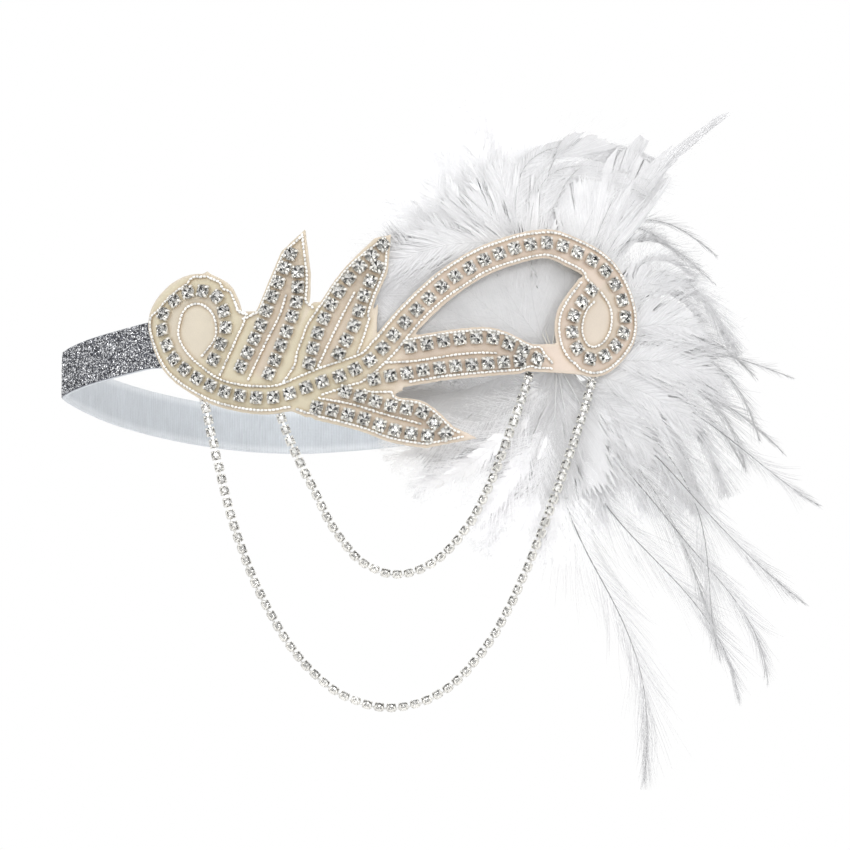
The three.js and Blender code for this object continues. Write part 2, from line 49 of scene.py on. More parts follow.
def placeCamera():
    tilt = math.radians(photoView["upTilt"])
    looking = Vector((0, math.cos(tilt), math.sin(tilt)))
    lensData = bpy.data.cameras.new("photoView")
    lensData.lens = photoView["lens"]
    lensData.sensor_width = 36
    lensData.clip_end = 30
    view = bpy.data.objects.new("photoView", lensData)
    view.location = (Vector(photoView["target"]) - looking * photoView["distance"]) * mm
    view.rotation_euler = looking.to_track_quat("-Z", "Y").to_euler()
    bpy.context.scene.collection.objects.link(view)
    bpy.context.scene.camera = view


placeCamera()
bpy.context.scene.view_settings.view_transform = "Standard"
print("camera placed")


def fromSrgb(red, green, blue):
    # screen colour in 0 to 255 as a linear one
    shares = np.array([red, green, blue], float) / 255
    return np.where(shares < 0.04045, shares / 12.92, ((shares + 0.055) / 1.055) ** 2.4)


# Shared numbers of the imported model, in its own shares and millimetres
front = {"radius": 150.0, "reach": 74.5, "middle": 30.0, "along": 80.0, "up": 30.0, "felt": 1.2}
gapBetween = 0.3


def onFront(along, up, out):
    # point of the bent applique: along the bend, up, and out from the felt's face
    angle = np.asarray(along) / front["radius"]
    reach = front["radius"] + np.asarray(out)
    return np.stack(np.broadcast_arrays(
        front["middle"] + reach * np.sin(angle),
        front["radius"] - front["reach"] - reach * np.cos(angle),
        np.asarray(up, float),
    ), axis=-1)


def frontAxes(along):
    # along, up and out at a place of the bent applique
    angle = along / front["radius"]
    return np.array([
        [math.cos(angle), math.sin(angle), 0.0],
        [0.0, 0.0, 1.0],
        [math.sin(angle), -math.cos(angle), 0.0],
    ])


def curveThrough(points, evenKnots=True, closed=False, perSpan=40):
    # dense Catmull-Rom line through chosen points, with even or centripetal knots
    points = np.asarray(points, float)
    count = len(points)
    spans = count if closed else count - 1
    line = []
    for span in range(spans):
        if closed:
            around = [points[(span + step) % count] for step in (-1, 0, 1, 2)]
        else:
            last = count - 1
            around = [points[max(span - 1, 0)], points[span], points[span + 1], points[min(span + 2, last)]]
            if not evenKnots and span == 0:
                around[0] = 2 * points[0] - points[1]
            if not evenKnots and span == spans - 1:
                around[3] = 2 * points[last] - points[last - 1]
        p0, p1, p2, p3 = around
        if evenKnots:
            start, end = (p2 - p0) / 2, (p3 - p1) / 2
        else:
            k0, k1, k2 = (math.sqrt(np.linalg.norm(b - a)) for a, b in ((p0, p1), (p1, p2), (p2, p3)))
            start = ((p1 - p0) / k0 - (p2 - p0) / (k0 + k1) + (p2 - p1) / k1) * k1
            end = ((p2 - p1) / k1 - (p3 - p1) / (k1 + k2) + (p3 - p2) / k2) * k1
        t = np.linspace(0, 1, perSpan, endpoint=False)[:, None]
        line.append(p1 + start * t + (3 * (p2 - p1) - 2 * start - end) * t ** 2
                    + (2 * (p1 - p2) + start + end) * t ** 3)
    line = np.concatenate(line)
    return np.vstack([line, points[0] if closed else points[-1]])


def lengthsOf(line):
    return np.concatenate([[0.0], np.cumsum(np.linalg.norm(np.diff(line, axis=0), axis=1))])


def placesAt(line, distances):
    reached = lengthsOf(line)
    return np.stack([np.interp(distances, reached, line[:, axis]) for axis in range(line.shape[1])], axis=-1)


def evenPlaces(line, gaps):
    return placesAt(line, np.linspace(0, lengthsOf(line)[-1], gaps + 1))


def unit(vectors):
    vectors = np.asarray(vectors, float)
    return vectors / np.maximum(np.linalg.norm(vectors, axis=-1, keepdims=True), 1e-9)


def ease(values, low, high):
    share = np.clip((values - low) / (high - low), 0, 1)
    return share ** 2 * (3 - 2 * share)


# Shapes: points, blocks of faces with a material number and smoothness, and a tint
def shapeOf(points, blocks, tint=None):
    points = np.asarray(points, float)
    if tint is None:
        tint = np.ones((len(points), 3))
    return {"points": points, "blocks": blocks, "tint": np.broadcast_to(tint, (len(points), 3))}


def together(shapes):
    blocks, first = [], 0
    for shape in shapes:
        blocks += [(faces + first, look, smooth) for faces, look, smooth in shape["blocks"]]
        first += len(shape["points"])
    return shapeOf(np.concatenate([s["points"] for s in shapes]), blocks,
                   np.concatenate([s["tint"] for s in shapes]))


def copies(shape, origins, axes, tints=None):
    # one copy at each origin, with its own three axes
    points = origins[:, None] + np.einsum("pk,nkj->npj", shape["points"], axes)
    step = np.arange(len(origins))[:, None, None] * len(shape["points"])
    blocks = [((faces[None] + step).reshape(-1, faces.shape[1]), look, smooth)
              for faces, look, smooth in shape["blocks"]]
    tint = np.broadcast_to(shape["tint"], (len(origins), len(shape["points"]), 3))
    if tints is not None:
        tint = tint * tints[:, None]
    return shapeOf(points.reshape(-1, 3), blocks, tint.reshape(-1, 3))


def skin(rings, look=0, smooth=True, capStart=False, capEnd=False):
    # closed rings of equally many points joined into a tube
    rings = np.asarray(rings, float)
    here = np.arange(rings.shape[0] * rings.shape[1]).reshape(rings.shape[:2])
    beside = np.roll(here, -1, axis=1)
    quads = np.stack([here[:-1], beside[:-1], beside[1:], here[1:]], axis=-1).reshape(-1, 4)
    blocks = [(quads, look, smooth)]
    if capStart:
        blocks.append((here[:1, ::-1], look, smooth))
    if capEnd:
        blocks.append((here[-1:], look, smooth))
    return shapeOf(rings.reshape(-1, 3), blocks)


def tubeAlong(line, aside, radii):
    # round tube whose section is turned by a direction aside
    ahead = unit(np.gradient(line, axis=0))
    side = unit(np.cross(ahead, aside))
    lift = np.cross(side, ahead)
    turns = (np.arange(6) * math.pi / 3)[None, :, None]
    ways = side[:, None] * np.cos(turns) + lift[:, None] * np.sin(turns)
    return skin(line[:, None] + ways * radii[:, None, None], capStart=True, capEnd=True)


def greys(values):
    # the same grey in all three channels
    return np.repeat(np.asarray(values)[:, None], 3, axis=1)


def addPiece(name, shape, materials, replaces=()):
    mesh = bpy.data.meshes.new(name)
    corners = np.concatenate([faces.ravel() for faces, _, _ in shape["blocks"]]).astype(np.int32)
    sizes = np.concatenate([np.full(len(faces), faces.shape[1]) for faces, _, _ in shape["blocks"]])
    starts = np.concatenate([[0], np.cumsum(sizes)[:-1]]).astype(np.int32)
    looks = np.concatenate([np.full(len(faces), look) for faces, look, _ in shape["blocks"]])
    smooths = np.concatenate([np.full(len(faces), smooth) for faces, _, smooth in shape["blocks"]])
    mesh.vertices.add(len(shape["points"]))
    mesh.vertices.foreach_set("co", (shape["points"] * mm).astype(np.float32).ravel())
    mesh.loops.add(len(corners))
    mesh.loops.foreach_set("vertex_index", corners)
    mesh.polygons.add(len(sizes))
    mesh.polygons.foreach_set("loop_start", starts)
    mesh.polygons.foreach_set("material_index", looks.astype(np.int32))
    mesh.polygons.foreach_set("use_smooth", smooths.astype(bool))
    mesh.update(calc_edges=True)
    mesh.validate()
    tint = mesh.color_attributes.new(name="tint", type="FLOAT_COLOR", domain="POINT")
    rgba = np.ones((len(shape["points"]), 4), np.float32)
    rgba[:, :3] = shape["tint"]
    tint.data.foreach_set("color", rgba.ravel())
    for material in materials:
        mesh.materials.append(material)
    piece = bpy.data.objects.new(name, mesh)
    bpy.context.scene.collection.objects.link(piece)
    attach(piece, "root")
    if replaces:
        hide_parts(*replaces)
    print("made", name, "with", int((sizes - 2).sum()), "triangles")
    return piece


# Shader groups
def newGroup(name, inputs, outputs):
    tree = bpy.data.node_groups.new(name, "ShaderNodeTree")
    kinds = {"value": "NodeSocketFloat", "colour": "NodeSocketColor", "vector": "NodeSocketVector"}
    for label, kind, start in inputs:
        socket = tree.interface.new_socket(label, in_out="INPUT", socket_type=kinds[kind])
        socket.default_value = start
    for label, kind in outputs:
        tree.interface.new_socket(label, in_out="OUTPUT", socket_type=kinds[kind])
    return tree, tree.nodes.new("NodeGroupInput"), tree.nodes.new("NodeGroupOutput")


def addNode(tree, kind, settings=None, **inputs):
    node = tree.nodes.new("ShaderNode" + kind)
    for name, value in (settings or {}).items():
        setattr(node, name, value)
    for label, value in inputs.items():
        byNumber = label[0] == "i" and label[1:].isdigit()
        socket = node.inputs[int(label[1:])] if byNumber else node.inputs[label]
        if isinstance(value, bpy.types.NodeSocket):
            tree.links.new(value, socket)
        else:
            socket.default_value = value
    return node


def mathNode(tree, operation, first, second=0.0):
    return addNode(tree, "Math", {"operation": operation}, i0=first, i1=second).outputs[0]


def buildNap():
    # soft cloth: fibre clumps that darken the colour a little and raise the surface
    tree, given, result = newGroup(
        "clothNap",
        [("Color", "colour", (1, 1, 1, 1)), ("Fibre", "value", 2600.0), ("Mottle", "value", 0.12)],
        [("Color", "colour"), ("Height", "value"), ("Roughness", "value")],
    )
    place = addNode(tree, "TexCoord").outputs["Object"]
    fine = addNode(tree, "TexNoise", Vector=place, Scale=given.outputs["Fibre"], Detail=3.0, Roughness=0.65)
    broad = addNode(tree, "TexNoise", Vector=place, Scale=140.0, Detail=2.0)
    spread = mathNode(tree, "SUBTRACT", fine.outputs["Fac"], 0.5)
    shade = mathNode(tree, "MULTIPLY", spread, given.outputs["Mottle"])
    patch = mathNode(tree, "MULTIPLY", mathNode(tree, "SUBTRACT", broad.outputs["Fac"], 0.5), 0.16)
    level = mathNode(tree, "ADD", mathNode(tree, "ADD", shade, patch), 1.0)
    scaled = addNode(tree, "VectorMath", {"operation": "SCALE"}, i0=given.outputs["Color"], Scale=level)
    tree.links.new(scaled.outputs[0], result.inputs["Color"])
    tree.links.new(fine.outputs["Fac"], result.inputs["Height"])
    rough = addNode(tree, "Math", {"operation": "MULTIPLY_ADD"}, i0=fine.outputs["Fac"], i1=0.2, i2=0.68)
    tree.links.new(rough.outputs[0], result.inputs["Roughness"])
    return tree


def buildTarnish():
    # plated metal and glass: faint clouds in colour and roughness
    tree, given, result = newGroup(
        "softTarnish",
        [("Color", "colour", (1, 1, 1, 1)), ("Depth", "value", 0.12), ("Polish", "value", 0.1)],
        [("Color", "colour"), ("Roughness", "value")],
    )
    place = addNode(tree, "TexCoord").outputs["Object"]
    cloud = addNode(tree, "TexNoise", Vector=place, Scale=420.0, Detail=3.0).outputs["Fac"]
    level = mathNode(tree, "SUBTRACT", 1.0, mathNode(tree, "MULTIPLY", cloud, given.outputs["Depth"]))
    scaled = addNode(tree, "VectorMath", {"operation": "SCALE"}, i0=given.outputs["Color"], Scale=level)
    rough = mathNode(tree, "ADD", given.outputs["Polish"], mathNode(tree, "MULTIPLY", cloud, 0.1))
    tree.links.new(scaled.outputs[0], result.inputs["Color"])
    tree.links.new(rough, result.inputs["Roughness"])
    return tree


clothNap = buildNap()
softTarnish = buildTarnish()


def newMaterial(name, **fixed):
    # a material with its Principled shader, whose plain values go on its own sockets
    material = bpy.data.materials.new(name)
    material.use_nodes = True
    tree = material.node_tree
    shader = tree.nodes["Principled BSDF"]
    for label, value in fixed.items():
        shader.inputs[label.replace("_", " ")].default_value = value
    return material, tree, shader


def useGroup(tree, group, **inputs):
    node = tree.nodes.new("ShaderNodeGroup")
    node.node_tree = group
    for label, value in inputs.items():
        if isinstance(value, bpy.types.NodeSocket):
            tree.links.new(value, node.inputs[label])
        else:
            node.inputs[label].default_value = value
    return node


def tintOf(tree):
    return addNode(tree, "Attribute", {"attribute_name": "tint"}).outputs["Color"]


def clothMaterial(name, fibre, mottle, bump, **fixed):
    material, tree, shader = newMaterial(name, **fixed)
    nap = useGroup(tree, clothNap, Color=tintOf(tree), Fibre=fibre, Mottle=mottle)
    raised = addNode(tree, "Bump", Height=nap.outputs["Height"], Strength=bump, Distance=0.0002)
    tree.links.new(nap.outputs["Color"], shader.inputs["Base Color"])
    tree.links.new(nap.outputs["Roughness"], shader.inputs["Roughness"])
    tree.links.new(raised.outputs[0], shader.inputs["Normal"])
    return material


def platedMaterial(name, depth, polish, **fixed):
    material, tree, shader = newMaterial(name, **fixed)
    cloud = useGroup(tree, softTarnish, Color=tintOf(tree), Depth=depth, Polish=polish)
    tree.links.new(cloud.outputs["Color"], shader.inputs["Base Color"])
    tree.links.new(cloud.outputs["Roughness"], shader.inputs["Roughness"])
    return material


weaveForm = {"ribPitch": 0.95, "threadPitch": 0.5, "rib": 0.45, "thread": 0.2, "streak": 4.5, "shade": 0.07,
             "bump": 0.5}


def weaveMaterial():
    # elastic: upright ribs crossed by fine threads, read from the band's own measure
    material, tree, shader = newMaterial("wovenElastic", Sheen_Weight=0.25, Sheen_Roughness=0.5)
    measure = addNode(tree, "Attribute", {"attribute_name": "measure"}).outputs["Vector"]
    split = addNode(tree, "SeparateXYZ", Vector=measure)
    upright = (1.3, 0.16, 1.0)  # draws the streaks out up the band
    drawn = addNode(tree, "VectorMath", {"operation": "MULTIPLY"}, i0=measure, i1=upright).outputs[0]
    uneven = addNode(tree, "TexNoise", Vector=drawn, Scale=1.0, Detail=3.0, Roughness=0.6).outputs["Fac"]
    waves = []
    for axis, name in (("X", "rib"), ("Y", "thread")):
        turns = mathNode(tree, "MULTIPLY", split.outputs[axis], 2 * math.pi / weaveForm[name + "Pitch"])
        waves.append(mathNode(tree, "MULTIPLY", mathNode(tree, "SINE", turns), weaveForm[name]))
    streaks = mathNode(tree, "MULTIPLY", mathNode(tree, "SUBTRACT", uneven, 0.5), weaveForm["streak"])
    weave = mathNode(tree, "ADD", mathNode(tree, "ADD", *waves), streaks)
    nap = useGroup(tree, clothNap, Color=tintOf(tree), Fibre=1800.0, Mottle=0.14)
    # painted shade: the colour rises and falls with the weave's height, darker in its grooves
    lift = mathNode(tree, "ADD", 1.0, mathNode(tree, "MULTIPLY", weave, weaveForm["shade"]))
    shade = addNode(tree, "VectorMath", {"operation": "SCALE"}, i0=nap.outputs["Color"], Scale=lift)
    height = mathNode(tree, "ADD", weave, mathNode(tree, "MULTIPLY", nap.outputs["Height"], 0.6))
    raised = addNode(tree, "Bump", Height=height, Strength=weaveForm["bump"], Distance=0.00012)
    tree.links.new(shade.outputs[0], shader.inputs["Base Color"])
    tree.links.new(nap.outputs["Roughness"], shader.inputs["Roughness"])
    tree.links.new(raised.outputs[0], shader.inputs["Normal"])
    return material


def featherMaterial(name, **fixed):
    # barbs: the tint carries the painted shade along each barb, fine streaks break it up
    material, tree, shader = newMaterial(name, **fixed)
    nap = useGroup(tree, clothNap, Color=tintOf(tree), Fibre=900.0, Mottle=0.1)
    tree.links.new(nap.outputs["Color"], shader.inputs["Base Color"])
    tree.links.new(nap.outputs["Roughness"], shader.inputs["Roughness"])
    return material


looks = {
    "felt": clothMaterial("creamFelt", 2600.0, 0.14, 0.35, Sheen_Weight=0.3, Sheen_Roughness=0.4),
    "elastic": weaveMaterial(),
    "glitter": platedMaterial("glitterFlake", 0.1, 0.16, Metallic=1.0),
    "glue": clothMaterial("glitterGlue", 3000.0, 0.4, 0.5),
    "bead": platedMaterial("linedBead", 0.05, 0.08, Coat_Weight=0.6, Coat_Roughness=0.05),
    "silver": platedMaterial("platedSilver", 0.06, 0.27, Metallic=0.6),
    "foil": platedMaterial("stoneFoil", 0.05, 0.0, Metallic=1.0),
    "crystal": platedMaterial("crystal", 0.0, 0.0, Transmission_Weight=1.0, IOR=1.56),
    "feather": featherMaterial("featherBarb", Sheen_Weight=0.4, Sheen_Roughness=0.4),
    "quill": platedMaterial("featherQuill", 0.05, 0.35),
}
print("materials ready")

# ---- elastic band
bandForm = {
    "halfWidth": 76.3, "backReach": 88.0, "height": 15.0, "wall": 1.2, "dip": 3.4,
    "rounding": 0.28, "dipShares": (0.55, 0.83), "touch": (-0.13, -0.28, -0.43, -0.58, -0.72), "steps": 560,
    "behind": [(-1.0, 0.0), (-0.868, 0.374), (-0.72, 0.603), (-0.564, 0.769), (-0.44, 0.865),
               (-0.258, 0.963), (-0.033, 1.0), (0.165, 0.958), (0.335, 0.895), (0.5, 0.81),
               (0.66, 0.68), (0.8, 0.51), (0.91, 0.32), (0.98, 0.12)],
    "rightFront": [(1.0, 0.03), (0.957, 0.2), (0.872, 0.43), (0.76, 0.644), (0.629, 0.815), (0.472, 0.925)],
    "leftFront": [(-0.472, 0.742), (-0.557, 0.65), (-0.621, 0.568), (-0.775, 0.393), (-0.889, 0.244),
                  (-0.978, 0.08)],
    "inside": fromSrgb(204, 209, 214), "selvage": fromSrgb(222, 226, 230), "glue": fromSrgb(96, 98, 106),
}
# shades: each flake is tinted from near black to white, painted sparkle on top of the tilted flakes' own
# reflections
glitter = {"flakes": 68000, "radius": (0.14, 0.3), "tilt": 0.46, "lift": (0.02, 0.14), "seed": 11,
           "shades": (0.01, 0.22, 0.9, 1.0), "odds": (0.27, 0.07, 0.12, 0.54)}


def bandRoute():
    # once round the loop: behind, right front, behind the felt, left front
    wide, reach = bandForm["halfWidth"], front["reach"]
    route = [(across * wide, back * bandForm["backReach"]) for across, back in bandForm["behind"]]
    route += [(across * wide, -ahead * reach) for across, ahead in bandForm["rightFront"]]
    for along in bandForm["touch"]:
        route.append(tuple(onFront(along * front["along"], 0, -front["felt"] - gapBetween)[:2]))
    route += [(across * wide, -ahead * reach) for across, ahead in bandForm["leftFront"]]
    line = curveThrough(route, evenKnots=False, closed=True)
    return evenPlaces(line, bandForm["steps"])[:-1]


def bandDip(plan):
    low, high = bandForm["dipShares"]
    share = np.clip((-plan[..., 1] / front["reach"] - low) / (high - low), 0, 1)
    return bandForm["dip"] * share ** 2 * (3 - 2 * share)


def makeBand():
    outer = bandRoute()
    ahead = unit(np.roll(outer, -1, axis=0) - np.roll(outer, 1, axis=0))
    inward = np.stack([ahead[:, 1], -ahead[:, 0]], axis=-1)
    # the route runs clockwise from above, so inward is to its right
    wall, half, rounding = bandForm["wall"], bandForm["height"] / 2, bandForm["rounding"]
    section = [(rounding, -half), (wall - rounding, -half), (wall, -half + rounding)]
    section += [(wall, height) for height in np.linspace(-half + 1.2, half - 1.2, 9)]
    section += [(wall, half - rounding), (wall - rounding, half), (rounding, half), (0, half - rounding)]
    section += [(0, height) for height in np.linspace(half - 1.2, -half + 1.2, 9)]
    section += [(0, -half + rounding)]
    section = np.array(section)
    flat = outer[:, None] + inward[:, None] * section[None, :, :1]
    heights = section[None, :, 1] - bandDip(flat)
    rings = np.concatenate([flat, heights[..., None]], axis=-1)
    closed = np.concatenate([rings, rings[:1]])
    shape = skin(closed)
    inside = section[:, 0] > wall - 0.1
    edge = np.abs(section[:, 1]) > half - 1.3
    isOutside = (section[:, 0] < 0.1) & (np.abs(section[:, 1]) < half - 0.1)
    tint = np.where(isOutside[:, None], bandForm["glue"], bandForm["inside"])
    tint = np.where((edge & ~isOutside)[:, None], bandForm["selvage"], tint)
    shape["tint"] = np.tile(tint, (len(closed), 1))
    quads = shape["blocks"][0][0]
    isInside = inside[quads % len(section)].any(axis=1)
    shape["blocks"] = [(quads[isInside], 0, True), (quads[~isInside], 1, True)]
    bothFaces = [looks["elastic"], looks["glue"]]
    band = addPiece("bandElastic", shape, bothFaces, ["elastic_band"])
    measure = band.data.attributes.new("measure", "FLOAT_VECTOR", "POINT")
    along = lengthsOf(np.vstack([outer, outer[:1]]))
    values = np.zeros((len(closed), len(section), 3), np.float32)
    values[..., 0] = along[:, None]
    values[..., 1] = section[None, :, 1]
    measure.data.foreach_set("vector", values.ravel())
    return outer, inward


def makeGlitter(outer, inward):
    draw = np.random.default_rng(glitter["seed"])
    count = glitter["flakes"]
    line = np.vstack([outer, outer[:1]])
    route = np.hstack([line, np.vstack([inward, inward[:1]])])
    spots = placesAt(route, draw.uniform(0, lengthsOf(line)[-1], count))
    plan, inner = spots[:, :2], unit(spots[:, 2:])
    half = bandForm["height"] / 2 - 0.35
    heights = draw.uniform(-half, half, count) - bandDip(plan)
    lift = draw.uniform(*glitter["lift"], count)
    origins = np.column_stack([plan - inner * lift[:, None], heights])
    outward = np.column_stack([-inner, np.zeros(count)])
    facing = unit(outward + draw.normal(0, glitter["tilt"], (count, 3)))
    side = unit(np.cross(facing, draw.normal(0, 1, (count, 3))))
    other = np.cross(facing, side)
    radius = draw.uniform(*glitter["radius"], count)
    axes = np.stack([side * radius[:, None], other * radius[:, None], facing], axis=1)
    corners = [(1.0, 0.1, 0), (0.1, 1.0, 0), (-0.9, -0.15, 0), (0.15, -0.9, 0)]
    flake = shapeOf(corners, [(np.arange(4)[None], 0, False)])
    # painted sparkle: every flake takes a tint from near black to white
    shade = draw.choice(glitter["shades"], count, p=glitter["odds"])
    return addPiece("bandGlitter", copies(flake, origins, axes, shade[:, None] * (0.97, 0.98, 1.0)),
                    [looks["glitter"]])


bandOuter, bandInward = makeBand()
makeGlitter(bandOuter, bandInward)

# ---- applique: felt
ribbonForm = {
    "edge": 4.5, "pitch": 5.27,
    "route": [(-0.694, -0.317, 1.1), (-0.645, -0.01, 1.15), (-0.67, 0.287, 1.15), (-0.716, 0.39, 1.2),
              (-0.789, 0.427, 1.25), (-0.858, 0.36, 1.3), (-0.91, 0.223, 1.3), (-0.916, 0.067, 1.25),
              (-0.861, -0.267, 1.2), (-0.756, -0.503, 1.15), (-0.632, -0.67, 1.1), (-0.458, -0.757, 1.05),
              (-0.288, -0.633, 1), (-0.15, -0.507, 1), (-0.051, -0.32, 1), (0.071, 0.063, 1),
              (0.214, 0.427, 1), (0.378, 0.703, 1), (0.583, 0.887, 1), (0.708, 0.827, 1.1),
              (0.838, 0.66, 1.15), (0.913, 0.363, 1.15), (0.921, 0.037, 1.15), (0.841, -0.233, 1.15),
              (0.769, -0.287, 1.15), (0.708, -0.14, 1.1), (0.705, 0.133, 1.1), (0.781, 0.433, 1.1)],
    "curlShare": 0.22, "peak": [(-0.79, 0.5), (-0.732, 0.63), (-0.66, 0.45)],
}
leafPitch = 4.85
leafForms = [
    {"root": (-0.525, -0.6), "tip": (-0.336, 0.997),
     "left": [(-0.581, -0.413), (-0.512, -0.037), (-0.44, 0.41), (-0.388, 0.73)],
     "right": [(-0.47, -0.507), (-0.403, -0.08), (-0.364, 0.237), (-0.359, 0.54)]},
    {"root": (-0.25, -0.55), "tip": (-0.005, 0.92),
     "left": [(-0.315, -0.417), (-0.26, 0.033), (-0.164, 0.45), (-0.035, 0.8)],
     "right": [(-0.204, -0.33), (-0.145, -0.047), (-0.105, 0.287), (-0.058, 0.573)]},
    {"root": (0.0, -0.42), "tip": (0.6, -0.37),
     "left": [(0.069, -0.263), (0.266, -0.17), (0.401, -0.157), (0.558, -0.34)],
     "right": [(-0.066, -0.6), (0.124, -0.5), (0.32, -0.427), (0.486, -0.373)]},
    {"root": (-0.28, -0.72), "tip": (0.325, -1.18),
     "left": [(-0.176, -0.723), (0.004, -0.883), (0.111, -0.937), (0.203, -1.157)],
     "right": [(-0.285, -0.873), (-0.109, -1.003), (0.01, -1.123), (0.135, -1.177)]},
]
websOfFelt = [
    [(-0.551, 0.14), (-0.65, -0.33), (-0.53, -0.4)],
    [(-0.315, 0.2), (-0.44, -0.4), (-0.26, -0.4), (-0.265, 0.2), (-0.28, 0.228), (-0.3, 0.228)],
    [(-0.066, -0.047), (-0.19, -0.35), (-0.08, -0.32)],
    [(0.075, -0.1), (-0.03, -0.28), (0.06, -0.3)],
    [(0.038, -0.7), (-0.15, -0.67), (-0.03, -0.56)],
    [(0.535, -0.18), (0.535, -0.46), (0.74, -0.45), (0.74, -0.13)],
    # between the feet of the leaves and the stem
    [(-0.62, -0.66), (-0.6, -0.3), (-0.53, -0.35), (-0.08, -0.26), (-0.13, -0.52), (-0.3, -0.66),
     (-0.458, -0.76)],
    [(-0.12, -0.46), (0.0, -0.14), (0.24, -0.3), (0.16, -0.6), (-0.1, -0.72)],
    [(-0.46, -0.8), (-0.3, -0.62), (-0.05, -0.6), (-0.18, -1.0), (-0.33, -0.96)],
    [(-0.67, -0.28), (-0.67, -0.62), (-0.53, -0.62), (-0.535, 0.165), (-0.572, 0.172), (-0.6, 0.06)],
    [(-0.053, 0.2), (-0.13, -0.1), (-0.2, -0.35), (-0.08, -0.3), (-0.06, -0.08)],
    [(-0.12, -0.6), (0.03, -0.62), (0.035, -0.7), (0.0, -0.76), (-0.12, -0.76)],
]
feltForm = {
    "grid": 0.5, "span": ((-83, 83), (-41.5, 34)), "leafMargin": 3.6, "blend": 0.35, "edgeRound": 0.3,
    "fray": 0.1, "puff": 0.22, "back": fromSrgb(236, 226, 208),
    "cream": fromSrgb(208, 199, 175), "creamLeaf": fromSrgb(203, 188, 173), "peach": fromSrgb(218, 202, 188),
    # the tan colour is painted shade, laid on the felt near the beads and stones
    "rim": fromSrgb(216, 204, 188), "tan": fromSrgb(179, 154, 121), "inner": fromSrgb(209, 199, 184),
}


def sized(points):
    points = np.asarray(points, float)
    return points[:, :2] * (front["along"], front["up"])


ribbonLine = curveThrough(sized(ribbonForm["route"]))
leafRows = [[curveThrough(sized(leaf[side])) for side in ("left", "right")] for leaf in leafForms]


def leftNormals(line):
    ahead = unit(np.gradient(line, axis=0))
    return np.stack([-ahead[:, 1], ahead[:, 0]], axis=-1)


def awayFromPolygon(spots, polygon):
    # signed distance in the flat, below zero inside
    starts, ends = polygon, np.roll(polygon, -1, axis=0)
    nearest = np.full(len(spots), np.inf)
    inside = np.zeros(len(spots), bool)
    for a, b in zip(starts, ends):
        edge = b - a
        share = np.clip(((spots - a) @ edge) / max(edge @ edge, 1e-9), 0, 1)
        nearest = np.minimum(nearest, np.linalg.norm(spots - a - share[:, None] * edge, axis=1))
        crosses = (a[1] > spots[:, 1]) != (b[1] > spots[:, 1])
        if abs(edge[1]) > 1e-9:
            inside ^= crosses & (spots[:, 0] < a[0] + (spots[:, 1] - a[1]) * edge[0] / edge[1])
    return np.where(inside, -nearest, nearest)


def awayFromRibbon(spots):
    edges = np.array([row[2] for row in ribbonForm["route"]]) * ribbonForm["edge"]
    rows = np.linspace(0, len(edges) - 1, len(ribbonLine))
    widths = np.interp(rows, np.arange(len(edges)), edges)
    nearest = np.full(len(spots), np.inf)
    for index in range(0, len(ribbonLine) - 1, 5):
        after = min(index + 5, len(ribbonLine) - 1)
        a, edge = ribbonLine[index], ribbonLine[after] - ribbonLine[index]
        share = np.clip(((spots - a) @ edge) / max(edge @ edge, 1e-9), 0, 1)
        reach = np.linalg.norm(spots - a - share[:, None] * edge, axis=1)
        nearest = np.minimum(nearest, reach - (widths[index] * (1 - share) + widths[after] * share))
    return nearest


def feltOutlines():
    outlines = []
    for leaf, (left, right) in zip(leafForms, leafRows):
        leftSide = left[::8] + leftNormals(left)[::8] * feltForm["leafMargin"]
        rightSide = right[::8] - leftNormals(right)[::8] * feltForm["leafMargin"]
        outlines.append(np.vstack([sized([leaf["root"]]), rightSide, sized([leaf["tip"]]), leftSide[::-1]]))
    places = evenPlaces(ribbonLine, 100)
    curl = round(100 * ribbonForm["curlShare"])
    outlines += [places[:curl + 1], places[100 - curl:], sized(ribbonForm["peak"])]
    return outlines + [sized(web) for web in websOfFelt]


def ripple(spots, pitch, seed):
    # cheap smooth noise from a few turned waves
    draw = np.random.default_rng(seed)
    total = np.zeros(len(spots))
    for _ in range(6):
        heading, phase = draw.uniform(0, 2 * math.pi, 2)
        length = pitch * draw.uniform(0.6, 1.6)
        wave = np.array([math.cos(heading), math.sin(heading)]) * (2 * math.pi / length)
        total += np.sin(spots @ wave + phase)
    return total / 6


def awayFromFelt(spots):
    # all the forms softly joined, with a slightly frayed edge
    fields = [awayFromRibbon(spots)] + [awayFromPolygon(spots, outline) for outline in feltOutlines()]
    blend = feltForm["blend"]
    joined = -blend * np.log(sum(np.exp(-np.clip(field, -9, 9) / blend) for field in fields))
    return joined + feltForm["fray"] * ripple(spots, 2.2, 3)


# ---- applique: rows of seed beads, each a line in the flat
beadForm = {"radius": 0.42, "hole": 0.14, "long": 1.12, "pitch": 1.22, "fromRim": 1.1, "rimReach": 3.0,
            "swing": 0.2, "sizes": (0.82, 1.12), "sink": (-0.05, 0.08), "lengths": (0.92, 1.05),
            "shades": (1.0, 0.95, 0.72), "odds": (0.6, 0.28, 0.12), "seed": 5}
